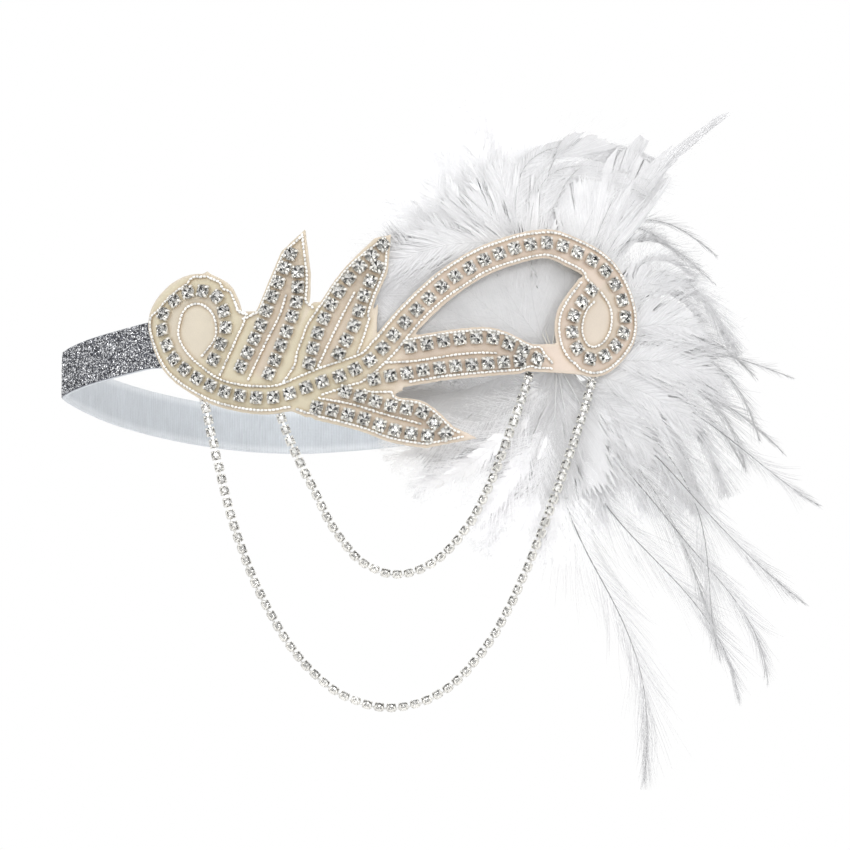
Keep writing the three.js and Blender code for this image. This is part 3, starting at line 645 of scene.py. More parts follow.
# rows that keep to the felt's edge, by number
rimRows = (2, 3, 4, 10, 11, 13, 14, 16)
beadRoutes = [
    # left curl's loop and the stem that runs on below the leaves
    [(-59.6, -7.7), (-55.3, -2.5), (-55.6, 3.5), (-57.6, 6.7), (-61.4, 8.8), (-65.8, 7.5), (-67.6, 3.2),
     (-67.9, -0.8), (-65.1, -6.1), (-60, -11.1), (-53.6, -15.7), (-46.8, -17.9), (-41.6, -18.7),
     (-35.5, -18.8), (-27.8, -16.2), (-22.1, -14), (-13.7, -11.4), (-9, -9.6), (-5.4, -5.4), (-1.5, -0.2),
     (6.0, 7.5), (11.0, 12.6), (17.4, 17.6), (24.0, 22.2), (32.0, 25.6), (40.0, 28.6), (47.0, 30.0)],
    # the curl's outer side down to the stem
    [(-47.3, 7.8), (-45.6, 3.2), (-48.4, -3.4), (-53.6, -14.2)],
    # left curl's rim, round its peak and down to the first swag
    [(-45.6, 4.6), (-49.3, 8.8), (-53.4, 12.4), (-57.6, 16.2), (-60.4, 16.7), (-66.6, 14.6), (-72, 11.3),
     (-76.6, 6.2), (-78.2, 2), (-77.4, -2.4), (-73.6, -9), (-68.4, -13.6), (-63.6, -17.4), (-58, -21.2),
     (-49.3, -23.5), (-42, -24.8), (-36.5, -25.2), (-31.5, -25.4)],
    # first leaf: left, right, vein
    [(-45.3, 2.2), (-42.6, 5.4), (-38.4, 12.2), (-34.6, 20.4), (-30.4, 26.6), (-27.4, 28.6)],
    [(-27.2, 27.6), (-26.8, 20.6), (-26.2, 12.6), (-26.4, 8.6), (-24.2, 5.0)],
    [(-44.3, -16.2), (-38.6, -4.6), (-34.4, 3.6), (-32.7, 9.0)],
    # second leaf: left, right, vein
    [(-33.1, -17.6), (-31.5, -15.4), (-29.7, -12.4), (-29.1, -8.9), (-27.6, -4.9), (-25.8, -0.1),
     (-23.4, 3.4), (-17.8, 12.4), (-13.2, 17.4), (-8.6, 21.6), (-2.4, 26.2)],
    [(-1.2, 25.2), (-1.9, 18.2), (-3.8, 12.6), (-6.3, 4.5), (-7.8, -1.7), (-9.3, -6.4), (-10.4, -9.2)],
    [(-22.4, -13.2), (-18.4, -4.4), (-14.6, 3.4), (-11.6, 9.1)],
    # the arch's lower row, from the stem to inside the right curl
    [(-21.0, -22.2), (-14.0, -20.0), (-7.6, -17.6), (-2.6, -13.0), (1.6, -8.6), (4.6, -4.6), (8.8, 0.6),
     (13, 4.9), (17.2, 8.6), (22, 12), (28, 16.2), (34, 19), (40, 21), (46, 22.6), (52, 22), (57.4, 20),
     (60.6, 17.2), (62.6, 15.4)],
    # third leaf: upper, lower, vein
    [(4.6, -5.4), (10.2, -3.4), (17.0, -1.6), (24.0, -0.9), (32.0, -1.4), (38.4, -2.8), (43.6, -5.6),
     (47.4, -8.6), (49.4, -10.6)],
    [(49.2, -12.2), (42.0, -14.4), (34.6, -15.6), (27.4, -16.4), (20.4, -17.4), (13.7, -18.2), (5.8, -19.6)],
    [(-1.6, -12.6), (6, -12.2), (12.4, -11.2), (20, -9.8), (27, -9.0), (31.5, -8.9)],
    # fourth leaf: upper, lower, vein
    [(-8.0, -20.4), (-2.6, -21.4), (3.8, -23.2), (10.2, -26.2), (15.4, -29.2), (20.4, -33.2)],
    [(-28.7, -26.4), (-21.4, -29.6), (-14.9, -31.8), (-7.2, -34.4), (0.6, -36.8), (7.2, -38.0), (13.4, -37.6),
     (21.2, -35.2)],
    [(-22.0, -23.4), (-12.4, -25.4), (-2.4, -28.6), (8.4, -31.5)],
    # right curl: rim, then the loop inside its stones
    [(48.6, 29.8), (53.6, 29.2), (59.4, 27.4), (65.6, 24.6), (70.4, 21.2), (74.4, 16.4), (77.6, 10.2),
     (78.6, 3.6), (77.2, -2.8), (73.8, -7.6), (68.8, -11.4), (62.6, -12.8), (57.4, -11), (53.6, -6.8),
     (51.7, -1), (52.6, 5.6), (55.2, 11), (58.6, 15.6)],
    [(66.4, 12.6), (69.2, 8.8), (69.8, 4.2), (68.6, -0.4), (65.6, -3.9), (62, -4.6), (59.8, -1.2),
     (59.9, 3.2), (61.4, 7), (63.6, 9.4)],
]


def alongRim(line, follows):
    # a row that follows the cut edge keeps one distance from it, others stay inside it
    line = evenPlaces(line, max(round(lengthsOf(line)[-1] / 0.7), 4))
    for _ in range(2):
        away = awayFromFelt(line)
        slope = np.stack([awayFromFelt(line + step) - awayFromFelt(line - step)
                          for step in ((0.2, 0), (0, 0.2))], axis=-1) / 0.4
        near = ease(away, -beadForm["rimReach"], -beadForm["rimReach"] + 1.2)
        shift = (away + beadForm["fromRim"]) * near if follows else np.maximum(away + 0.9, 0)
        line = line - unit(slope) * shift[:, None]
    smooth = line.copy()
    smooth[1:-1] = (line[:-2] + 2 * line[1:-1] + line[2:]) / 4
    return smooth


def beadPlaces():
    # middle and heading of each bead in the flat
    middles, headings = [], []
    for number, route in enumerate(beadRoutes):
        line = curveThrough(route, evenKnots=False)
        line = alongRim(line, number in rimRows)
        gaps = round(lengthsOf(line)[-1] / beadForm["pitch"])
        spots = evenPlaces(line, gaps)
        middles.append(spots)
        headings.append(unit(np.gradient(spots, axis=0)))
    return np.concatenate(middles), np.concatenate(headings)


beadMiddles, beadHeadings = beadPlaces()


def stonePlaces(line, pitch):
    spots = evenPlaces(line, round(lengthsOf(line)[-1] / pitch))
    before = np.vstack([spots[:1], spots[:-1]])
    after = np.vstack([spots[1:], spots[-1:]])
    return spots, unit(after - before)


stoneGroups = {"ribbon_stones": [stonePlaces(ribbonLine, ribbonForm["pitch"])]}
for number, rows in enumerate(leafRows):
    stoneGroups[f"leaf_stones_{number + 1}"] = [stonePlaces(row, leafPitch) for row in rows]


def nearestTo(spots, marks):
    tree = KDTree(len(marks))
    for index, mark in enumerate(marks):
        tree.insert((mark[0], mark[1], 0), index)
    tree.balance()
    return np.array([tree.find((spot[0], spot[1], 0))[2] for spot in spots])


def feltTint(spots, away):
    rightward = ease(spots[:, 0], -22, 18)[:, None]
    body = feltForm["cream"] * (1 - rightward) + feltForm["peach"] * rightward
    inLeaf = np.minimum.reduce([awayFromPolygon(spots, outline) for outline in feltOutlines()[:4]])
    leafy = ease(-inLeaf, 0.5, 3.5)[:, None] * 0.75
    body = body * (1 - leafy) + feltForm["creamLeaf"] * leafy
    curls = np.minimum(*[awayFromPolygon(spots, outline) for outline in feltOutlines()[4:6]])
    inCurl = ease(-curls, 0.2, 2.5)[:, None] * 0.7
    body = body * (1 - inCurl) + feltForm["inner"] * inCurl
    beads = nearestTo(spots, beadMiddles)
    stones = nearestTo(spots, np.concatenate([row[0] for rows in stoneGroups.values() for row in rows]))
    # painted shade: the felt is tinted tanner close to the beads and the stones, where they shade it
    shadeByBeads = np.exp(-(beads / 0.85) ** 2) * 0.75
    shadeByStones = np.exp(-(np.maximum(stones - 1.6, 0) / 0.9) ** 2) * 0.42
    close = np.maximum(shadeByBeads, shadeByStones)
    close = np.clip(close * (1 + 0.35 * ripple(spots, 9, 8)), 0, 1)[:, None]
    body = body * (1 - close) + feltForm["tan"] * close
    rim = ease(away, -1.1, -0.5)[:, None] * 0.6
    return body * (1 - rim) + feltForm["rim"] * rim, beads


def makeFelt():
    # a fine grid in the flat, cut along the outline and bent round the front
    step = feltForm["grid"]
    acrossSteps, upSteps = (np.arange(low, high + step, step) for low, high in feltForm["span"])
    wide, high = len(acrossSteps), len(upSteps)
    spots = np.stack(np.meshgrid(acrossSteps, upSteps, indexing="ij"), axis=-1).reshape(-1, 2)
    away = awayFromFelt(spots)
    inside = away < 0
    index = np.arange(wide * high).reshape(wide, high)
    cells = np.stack([index[:-1, :-1], index[1:, :-1], index[1:, 1:], index[:-1, 1:]], axis=-1).reshape(-1, 4)
    counts = inside[cells].sum(axis=1)
    full = cells[counts == 4]
    points, fields = list(spots), list(away)
    cuts, byCount, rimEdges = {}, {3: [], 4: [], 5: [], 6: []}, []
    for cell in cells[(counts > 0) & (counts < 4)]:
        loop, isCut = [], []
        for corner in range(4):
            here, there = cell[corner], cell[(corner + 1) % 4]
            if inside[here]:
                loop.append(here)
                isCut.append(False)
            if inside[here] != inside[there]:
                key = (min(here, there), max(here, there))
                if key not in cuts:
                    share = away[here] / (away[here] - away[there])
                    share = min(max(share, 0.08), 0.92)
                    points.append(spots[here] + (spots[there] - spots[here]) * share)
                    fields.append(0.0)
                    cuts[key] = len(points) - 1
                loop.append(cuts[key])
                isCut.append(True)
        byCount[len(loop)].append(loop)
        for place in range(len(loop)):
            after = (place + 1) % len(loop)
            if isCut[place] and isCut[after]:
                rimEdges.append((loop[place], loop[after]))
    points, fields = np.array(points), np.array(fields)
    cutCells = [np.ravel(group) for group in byCount.values() if group]
    used = np.unique(np.concatenate([full.ravel()] + cutCells))
    renumber = np.full(len(points), -1)
    renumber[used] = np.arange(len(used))
    points, fields = points[used], fields[used]
    tint, beads = feltTint(points, fields)
    roundOff = feltForm["edgeRound"] * np.exp(fields / 0.45)
    puff = feltForm["puff"] * (1 - np.exp(-(beads / 1.6) ** 2)) - 0.12 + 0.05 * ripple(points, 7, 21)
    face = onFront(points[:, 0], points[:, 1], puff - roundOff)
    back = onFront(points[:, 0], points[:, 1], -front["felt"] + roundOff)
    count = len(points)
    blocks = []
    for group in [full] + [np.array(loops) for loops in byCount.values() if loops]:
        faces = renumber[group]
        blocks += [(faces, 0, True), (faces[:, ::-1] + count, 0, True)]
    rim = renumber[np.array(rimEdges)]
    blocks.append((np.column_stack([rim[:, 1], rim[:, 0], rim[:, 0] + count, rim[:, 1] + count]), 0, True))
    backTint = np.broadcast_to(feltForm["back"], (count, 3))
    shape = shapeOf(np.vstack([face, back]), blocks, np.vstack([tint, backTint]))
    felt = addPiece("appliqueFelt", shape, [looks["felt"]], ["applique_backing"])
    area = step ** 2 * (len(full) + 0.5 * sum(len(loops) for loops in byCount.values()))
    print("felt area", round(area), "square millimetres")
    return felt, area


felt, feltArea = makeFelt()


def beadShape(sides=6):
    # barrel with rounded ends and a hole
    half, radius, hole = beadForm["long"] / 2, beadForm["radius"], beadForm["hole"]
    profile = [(-half, hole), (-half, radius * 0.62), (-half * 0.72, radius * 0.93), (0, radius),
               (half * 0.72, radius * 0.93), (half, radius * 0.62), (half, hole)]
    turns = np.arange(sides) * 2 * math.pi / sides
    rings = [[(x, r * math.cos(t), r * math.sin(t)) for t in turns] for x, r in profile + profile[:1]]
    shape = skin(rings)
    # painted shade: each bead is tinted darker towards its ends and hole, where the beads shade each other
    shade = np.array([0.45, 0.8, 1, 1, 1, 0.8, 0.45, 0.45])
    shape["tint"] = np.repeat(shade, sides)[:, None] * fromSrgb(255, 254, 250)
    return shape


def makeBeads():
    draw = np.random.default_rng(beadForm["seed"])
    origins, axes, tints = [], [], []
    for middle, heading in zip(beadMiddles, beadHeadings):
        along, up, out = frontAxes(middle[0])
        swing = draw.normal(0, beadForm["swing"])
        direction = along * heading[0] + up * heading[1]
        across = np.cross(out, direction)
        direction, across = (direction * math.cos(swing) + across * math.sin(swing),
                             across * math.cos(swing) - direction * math.sin(swing))
        size = draw.uniform(*beadForm["sizes"])
        height = beadForm["radius"] * 0.9 + draw.uniform(*beadForm["sink"])
        origins.append(onFront(middle[0], middle[1], height))
        axes.append(np.array([direction * draw.uniform(*beadForm["lengths"]), across * size, out * size]))
        tints.append(draw.choice(beadForm["shades"], p=beadForm["odds"]))
    beads = copies(beadShape(), np.array(origins), np.array(axes), greys(tints))
    return addPiece("seedBeads", beads, [looks["bead"]])


makeBeads()
print("beads:", len(beadMiddles))

# ---- claw-set stones
# painted reflections: the foiled facets, round the stone, get fixed bright and dark tints, listed here for
# the main and half facets
sewnStone = {"side": 3.9, "cup": 1.4, "crown": 0.9, "girdle": 2.1, "table": 0.95, "claw": 0.52,
             "cupHalf": 1.8, "paintedMainShades": (1, 0.3, 1, 0.04, 1, 0.8, 1, 0.1),
             "paintedHalfShades": (1, 0.5, 1, 1, 0.1, 1, 1, 0.6)}
chainStone = {"side": 2.8, "cup": 1.25, "crown": 0.7, "girdle": 1.45, "table": 0.7, "claw": 0.36,
              "cupHalf": 1.34, "paintedMainShades": (1, 0.1, 0.9, 0.4, 1, 0.1, 1, 0.6),
              "paintedHalfShades": (1, 0.2, 1, 0.7, 0.2, 1, 1, 0.3)}


def outwardFaces(points, faces, middle):
    # faces turned so that they look away from the middle
    turned = []
    for face in faces:
        corner, second, third = points[face[0]], points[face[1]], points[face[2]]
        normal = np.cross(second - corner, third - corner)
        looksIn = normal @ (points[list(face)].mean(axis=0) - middle) < 0
        turned.append(face[::-1] if looksIn else face)
    return turned


def blocksBySize(faces, look, smooth):
    bySize = {}
    for face in faces:
        bySize.setdefault(len(face), []).append(face)
    return [(np.array(group), look, smooth) for group in bySize.values()]


def facets(points, faces, shades, look):
    # every facet has its own corners, so that its painted reflection tint stays its own
    corners = np.concatenate([points[list(face)] for face in faces])
    starts = np.concatenate([[0], np.cumsum([len(face) for face in faces])[:-1]])
    own = [tuple(range(start, start + len(face))) for start, face in zip(starts, faces)]
    tint = np.concatenate([np.full(len(face), shade) for face, shade in zip(faces, shades)])
    return shapeOf(corners, blocksBySize(own, look, False), tint[:, None] * fromSrgb(252, 251, 247))


def cutStone(size):
    # glass crown with table, stars, kites and girdle facets over a foiled pavilion
    girdleUp, top = size["cup"] - 0.12, size["cup"] + size["crown"]
    eighth = math.pi / 4

    def ring(count, radius, height, offset=0.0):
        turns = np.arange(count) * 2 * math.pi / count + offset
        return np.column_stack([radius * np.cos(turns), radius * np.sin(turns), np.full(count, height)])

    table = ring(8, size["table"], top)
    star = ring(8, size["girdle"] * 0.79, girdleUp + (top - girdleUp) * 0.62, eighth / 2)
    girdle = ring(16, size["girdle"], girdleUp)
    crown = np.vstack([table, star, girdle])
    faces = [tuple(range(8))]
    for k in range(8):
        after, before = (k + 1) % 8, (k - 1) % 8
        faces.append((k, after, 8 + k))
        faces.append((k, 8 + before, 16 + 2 * k, 8 + k))
        faces.append((8 + k, 16 + 2 * k, 16 + 2 * k + 1))
        faces.append((8 + k, 16 + 2 * k + 1, 16 + (2 * k + 2) % 16))
    crownFaces = outwardFaces(crown, faces, np.array([0, 0, girdleUp - 1]))
    lower = ring(8, size["girdle"] * 0.42, girdleUp * 0.42, eighth / 2)
    culet = np.array([[0, 0, 0.12]])
    pavilion = np.vstack([girdle, lower, culet])
    faces = []
    for k in range(8):
        before = (k - 1) % 8
        faces.append((24, 16 + before, 2 * k, 16 + k))
        faces.append((16 + k, 2 * k, 2 * k + 1))
        faces.append((16 + k, 2 * k + 1, (2 * k + 2) % 16))
    pavilionFaces = outwardFaces(pavilion, faces, np.array([0, 0, girdleUp + 1]))
    # painted reflections: each pavilion facet takes its fixed bright or dark tint
    shades = []
    for k in range(8):
        shades += [size["paintedMainShades"][k], size["paintedHalfShades"][k], size["paintedHalfShades"][k - 3]]
    glass = shapeOf(crown, blocksBySize(crownFaces, 1, False))
    return together([glass, facets(pavilion, pavilionFaces, shades, 2)])


def roundedSquare(half, power, count=16):
    # the higher the power, the squarer
    turns = np.arange(count) * 2 * math.pi / count
    across, up = np.cos(turns), np.sin(turns)
    stretch = half / (np.abs(across) ** power + np.abs(up) ** power) ** (1 / power)
    return np.column_stack([across * stretch, up * stretch])


def clawCup(size):
    half, deep, crown, claw = size["cupHalf"], size["cup"], size["crown"], size["claw"]
    metal = fromSrgb(248, 246, 240)
    levels = [(half * 0.9, 0.02), (half * 0.98, 0.12), (half, deep * 0.45), (half, deep * 0.86),
              (half * 0.95, deep * 0.9), (half * 0.9, deep * 0.8)]
    rings = [np.column_stack([roundedSquare(reach, 3.2), np.full(16, up)]) for reach, up in levels]
    parts = [skin(rings, capStart=True)]
    top = deep + crown
    for quarter in range(4):
        turn = math.pi / 4 + quarter * math.pi / 2
        outward = np.array([math.cos(turn), math.sin(turn), 0])
        side = np.array([-math.sin(turn), math.cos(turn), 0])
        foot = size["side"] * 0.58
        # up the corner and bent over the stone's edge
        spine = [(foot, deep * 0.35, 0.9), (foot, deep * 0.95, 1.0), (foot * 0.94, deep + crown * 0.42, 0.95),
                 (foot * 0.76, top - crown * 0.2, 0.8), (foot * 0.6, top - crown * 0.12, 0.35)]
        rings = []
        for reach, up, wide in spine:
            middle = outward * reach + np.array([0, 0, up])
            lift = np.array([0, 0, 1]) if reach < foot * 0.9 else outward
            rings.append([middle + (side * math.cos(a) + lift * 0.6 * math.sin(a)) * claw * wide
                          for a in np.arange(6) * math.pi / 3])
        parts.append(skin(rings, capStart=True, capEnd=True))
    shape = together(parts)
    shape["tint"] = np.broadcast_to(metal, shape["points"].shape)
    return shape


def setStone(size):
    return together([clawCup(size), cutStone(size)])


stoneLooks = [looks["silver"], looks["crystal"], looks["foil"]]
stoneJitter = {"lean": 0.05, "shades": (0.88, 1.0), "seed": 17}


def makeSewnStones(node, rows, draw):
    template = setStone(sewnStone)
    origins, axes, tints = [], [], []
    for spots, headings in rows:
        for spot, heading in zip(spots, headings):
            along, up, out = frontAxes(spot[0])
            forward = along * heading[0] + up * heading[1]
            out = unit(out + draw.normal(0, stoneJitter["lean"], 3))
            forward = unit(forward - out * (forward @ out))
            for _ in range(draw.integers(4)):
                forward = np.cross(out, forward)
            axes.append(np.array([forward, np.cross(out, forward), out]))
            origins.append(onFront(spot[0], spot[1], gapBetween * 0.5))
            tints.append(draw.uniform(*stoneJitter["shades"]))
    shape = copies(template, np.array(origins), np.array(axes), greys(tints))
    return addPiece(node + "_set", shape, stoneLooks, [node])


draw = np.random.default_rng(stoneJitter["seed"])
for node, rows in stoneGroups.items():
    makeSewnStones(node, rows, draw)

# ---- swags of cup chain
chainForm = {"pitch": 3.75, "hold": 1.95, "turn": 52.0, "turnShares": (0.05, 0.55), "link": (1.2, 0.7),
             "bar": (0.5, 0.2), "foot": 0.15, "tucked": 1.0, "shades": (0.86, 1.0), "seed": 23}
swagForms = {
    "outer_chain": {"left": (-0.755, -0.667), "right": (0.814, -0.41), "drop": 100.5,
                    "route": [(0.025, 0.137), (0.076, 0.401), (0.148, 0.633), (0.25, 0.836), (0.364, 0.957),
                              (0.495, 1), (0.616, 0.957), (0.73, 0.82), (0.814, 0.636), (0.891, 0.402),
                              (0.956, 0.174)]},
    "inner_chain": {"left": (-0.449, -0.833), "right": (0.536, -0.5), "drop": 57.2,
                    "route": [(0.052, 0.198), (0.128, 0.438), (0.232, 0.73), (0.355, 0.928), (0.497, 1),
                              (0.639, 0.944), (0.765, 0.777), (0.861, 0.539), (0.937, 0.254)]},
}


def linkShape():
    # flat bar between two cups, a little narrower at its middle
    half = chainForm["pitch"] / 2
    wide, thick = chainForm["bar"]
    corners = ((1, -1), (1, 1), (-1, 1), (-1, -1))
    rings = []
    for x, share in ((-half, 1.0), (-half * 0.4, 0.85), (0, 0.75), (half * 0.4, 0.85), (half, 1.0)):
        rings.append([(x, y * wide * share, 0.42 + z * thick) for y, z in corners])
    shape = skin(rings, smooth=False, capStart=True, capEnd=True)
    shape["tint"] = np.broadcast_to(fromSrgb(242, 241, 238), shape["points"].shape)
    return shape


def makeSwag(node, form, draw):
    out = -front["felt"] - gapBetween - (1 + chainForm["foot"]) * chainForm["link"][1]
    ends = (form["left"], form["right"])
    start, end = (onFront(along * front["along"], up * front["up"], out) for along, up in ends)
    route = [start]
    for across, down in form["route"]:
        spot = start + (end - start) * across
        spot[2] -= down * form["drop"]
        route.append(spot)
    line = curveThrough(route + [end], evenKnots=False)
    length = lengthsOf(line)[-1]
    tuck = ribbonForm["edge"] + chainStone["side"] / 2 - chainForm["hold"]
    gaps = round((length - 2 * tuck) / chainForm["pitch"])
    distances = np.concatenate([[0], tuck + np.arange(gaps + 1) * (length - 2 * tuck) / gaps, [length]])
    centres = placesAt(line, distances)
    straight = unit((end - start) * (1, 1, 0))
    forward = np.array([straight[1], -straight[0], 0])
    origins, axes = [], []
    for index, centre in enumerate(centres):
        after, before = centres[min(index + 1, len(centres) - 1)], centres[max(index - 1, 0)]
        tangent = unit(after - before)
        inward = np.cross(forward, tangent)
        share = min(distances[index], length - distances[index]) / (length / 2)
        turn = math.radians(chainForm["turn"]) * ease(share, *chainForm["turnShares"])
        turn += draw.normal(0, 0.06)
        face = forward * math.cos(turn) + inward * math.sin(turn)
        axes.append(np.array([tangent, np.cross(face, tangent), face]))
        origins.append(centre)
    origins, axes = np.array(origins), np.array(axes)
    tints = greys(draw.uniform(*chainForm["shades"], len(origins)))
    tucked = origins.copy()
    tucked[[0, -1]] -= axes[[0, -1], 2] * chainForm["tucked"]
    cups = copies(setStone(chainStone), tucked, axes, tints)
    middles = (origins[:-1] + origins[1:]) / 2
    spans = origins[1:] - origins[:-1]
    reach = np.linalg.norm(spans, axis=1)
    linkAxes = []
    for index in range(len(middles)):
        tangent = spans[index] / reach[index]
        face = unit(axes[index][2] + axes[index + 1][2])
        face = unit(face - tangent * (face @ tangent))
        stretched = tangent * reach[index] / chainForm["pitch"]
        linkAxes.append(np.array([stretched, np.cross(face, tangent), face]))
    links = copies(linkShape(), middles, np.array(linkAxes))
    return addPiece(node + "_cups", together([cups, links]), stoneLooks, [node])


draw = np.random.default_rng(chainForm["seed"])
for node, form in swagForms.items():
    makeSwag(node, form, draw)

# ---- plume
plumeForm = {"behind": 8.5, "flare": 0.55, "ease": 80.0, "root": (0.675, -0.283), "rootRadius": 4.6,
             "rootDepth": 7.0, "seat": 0.3, "padRadius": 4.4, "swags": -56.0, "swagsDown": (11, 17),
             "coverSlope": 0.085, "coverBehind": (0.4, 4.5), "rise": 0.25, "steps": 48, "seed": 37}
# headings in degrees along the quill, length, width, lean away from the face, kind of
# feather, and where its foot lies from the root: across and up
feathers = [
    # upper left
    ((154, 152, 148, 158), 56, 20, 2, "fluff", (-4, 14)),
    ((146, 142, 138, 148), 60, 22, 3, "fluff", (-4, 14)),
    ((138, 134, 130, 118), 60, 24, 2, "fluff", (-2, 16)),
    ((128, 124, 120, 130), 64, 22, 4, "fluff", (-2, 16)),
    ((120, 116, 112, 98), 62, 20, 2, "fluff", (-2, 16)),
    ((112, 110, 108, 122), 70, 18, 5, "fluff", (-2, 16)),
    ((104, 102, 100, 90), 60, 20, 3, "fluff", (0, 18)),
    ((160, 162, 156, 166), 52, 18, 2, "fluff", (-4, 14)), ((134, 128, 118), 50, 30, 1, "vane", (-2, 14)),
    ((118, 112, 98), 52, 30, 1, "vane", (0, 14)), ((148, 148, 156), 52, 26, 0, "vane", (-2, 12)),
    ((160, 170, 188, 206, 216), 66, 18, -1, "breast", (4, 30)),
    # top
    ((94, 92, 84, 30, 2, -6, -14), 80, 27, 2, "crest", (-12, 28)),
    ((94, 88, 66, 12, -8, -16), 64, 24, 1, "crest", (-8, 29)),
    ((96, 90, 78, 66), 42, 26, 2, "vane", (0, 20)), ((84, 76, 66, 54), 38, 24, 1, "vane", (4, 22)),
    ((92, 84, 58, 20, -10), 54, 7, 5, "lock", (4, 24)),
    ((61, 58, 54, 48, 44, 40), 71, 4, 3, "spear", (10, 30)), ((72, 68, 64, 61), 48, 6, 1, "spear", (8, 28)),
    ((62, 60, 55, 50), 40, 7, 2, "spear", (11, 27)), ((72, 44, -8, -38, -44), 38, 3, 4, "wisp", (12, 34)),
    ((66, 42, 2, -28, -38), 48, 3, 6, "wisp", (12, 34)),
    ((60, 30, -14, -40, -36), 44, 3, 5, "wisp", (14, 32)),
    # right
    ((84, 74, 48, -4, -44), 36, 8, 4, "lock", (20, 16)),
    ((78, 64, 34, -14, -50), 34, 8, 5, "lock", (20, 14)),
    ((70, 54, 16, -30, -60), 36, 9, 3, "lock", (19, 12)),
    ((88, 84, 66, 30, -20), 34, 8, 3, "lock", (16, 18)),
    ((62, 40, -8, -48, -60, -58), 50, 7, 5, "lock", (21, 20)),
    ((54, 30, -6, -40, -62), 38, 11, 6, "lock", (18, 10)),
    ((36, 16, -10, -40, -62), 38, 13, 5, "lock", (17, 6)),
    ((20, 6, -14, -40, -60), 38, 13, 4, "lock", (17, 2)), ((6, -4, -11, -17), 56, 3, 1, "wisp", (20, 8)),
    ((12, 2, -12, -42, -66, -76), 60, 5, 2, "wisp", (18, 6)),
    ((20, 6, -16, -36, -44), 50, 4, 3, "wisp", (18, 12)),
    ((-6, -18, -42, -64, -76), 52, 9, 6, "lock", (16, -4)),
    ((-14, -30, -52, -70, -80), 50, 9, 7, "lock", (14, -6)),
    ((2, -8, -30, -60, -84), 58, 7, 4, "wisp", (16, 0)), ((-4, -16, -40, -66), 54, 5, 4, "wisp", (14, -2)),
    ((-8, -12, -20, -30, -36, -34, -26), 92, 6, 3, "hackle", (0, 0)),
    ((-2, -8, -18, -34, -44), 66, 4, 5, "wisp", (12, 0)), ((70, 54, 28, 4), 30, 24, 1, "breast", (14, 10)),
    ((38, 22, 2, -16), 34, 26, 0, "breast", (14, 6)), ((14, 4, -10, -24), 38, 26, 1, "breast", (14, 0)),
    ((-6, -16, -30, -40), 36, 26, 1, "breast", (10, -4)),
    ((-28, -40, -50, -56), 32, 26, 2, "breast", (6, -6)), ((-46, -58, -72), 30, 24, 1, "breast", (0, -6)),
    # lower right and down
    ((-30, -34, -44, -62, -84, -88, -74), 108, 9, 7, "hackle", (0, 0)),
    ((-42, -41, -41, -47, -44, -40, -32), 104, 7, 4, "hackle", (0, 0)),
    ((-64, -56, -46, -50, -44, -58, -88), 116, 9, 9, "hackle", (0, 0)),
    ((-84, -76, -56, -42, -44, -60, -84), 118, 9, 11, "hackle", (0, 0)),
    ((-94, -90, -70, -58, -68, -88, -98), 133, 11, 9, "hackle", (0, 0)),
    ((-50, -48, -50, -60, -72, -66), 92, 6, 8, "wisp", (0, -2)),
    ((-30, -40, -52, -66), 50, 14, 7, "fluff", (6, -6)),
    ((-46, -54, -66, -60), 46, 14, 8, "fluff", (4, -6)),
    ((-62, -66, -76, -88), 46, 16, 8, "fluff", (0, -6)),
    # lower left
    ((-82, -90, -100, -92), 48, 20, 1, "downTuft", (0, -12)),
    ((-98, -104, -110, -122), 50, 20, 0, "downTuft", (0, -12)),
    ((-114, -122, -130, -122), 48, 20, -1, "downTuft", (0, -12)),
    ((-128, -136, -144, -154), 50, 18, -1, "downTuft", (-2, -8)),
    ((-144, -152, -160, -150), 54, 16, 0, "downTuft", (-2, -6)),
    ((-106, -112, -122, -108), 56, 16, 8, "fluff", (0, -5)),
    ((-88, -92, -98, -110), 54, 16, 8, "fluff", (0, -5)),
    ((-132, -140, -146, -140), 54, 14, 7, "fluff", (-2, -4)), ((-62, -70, -82), 40, 26, 3, "vane", (0, -4)),
    ((-84, -92, -102), 40, 28, 3, "vane", (0, -4)), ((-106, -114, -124), 40, 28, 3, "vane", (0, -4)),
    ((-130, -140, -152), 34, 24, 3, "vane", (-2, -4)),
    # close behind the applique, over the elastic
    ((186, 178, 172), 68, 26, 0, "cover", (0, 0)), ((174, 168, 162), 62, 24, 0, "cover", (0, 0)),
    ((200, 192, 186), 60, 24, 0, "cover", (0, 0)), ((162, 154, 148), 64, 28, 0, "cover", (0, 0)),
    ((214, 206, 200), 50, 24, 0, "cover", (0, 0)), ((150, 140, 130), 50, 30, 0, "cover", (0, 0)),
    ((134, 122, 108), 40, 36, 0, "cover", (0, 0)), ((114, 100, 88), 36, 34, 0, "cover", (-2, 0)),
    ((-100, -108, -120), 42, 30, 0, "cover", (0, 2)), ((-80, -88, -98), 42, 28, 0, "cover", (0, 2)),
    ((-120, -130, -144), 38, 28, 0, "cover", (0, 2)), ((94, 90, 88), 40, 24, 0, "cover", (3, -2)),
    ((178, 173, 168), 66, 24, 0, "cover", (0, 0)), ((169, 167, 164), 62, 20, 0, "cover", (0, 0)),
    ((80, 78, 76), 36, 22, 0, "cover", (6, -2)),
]
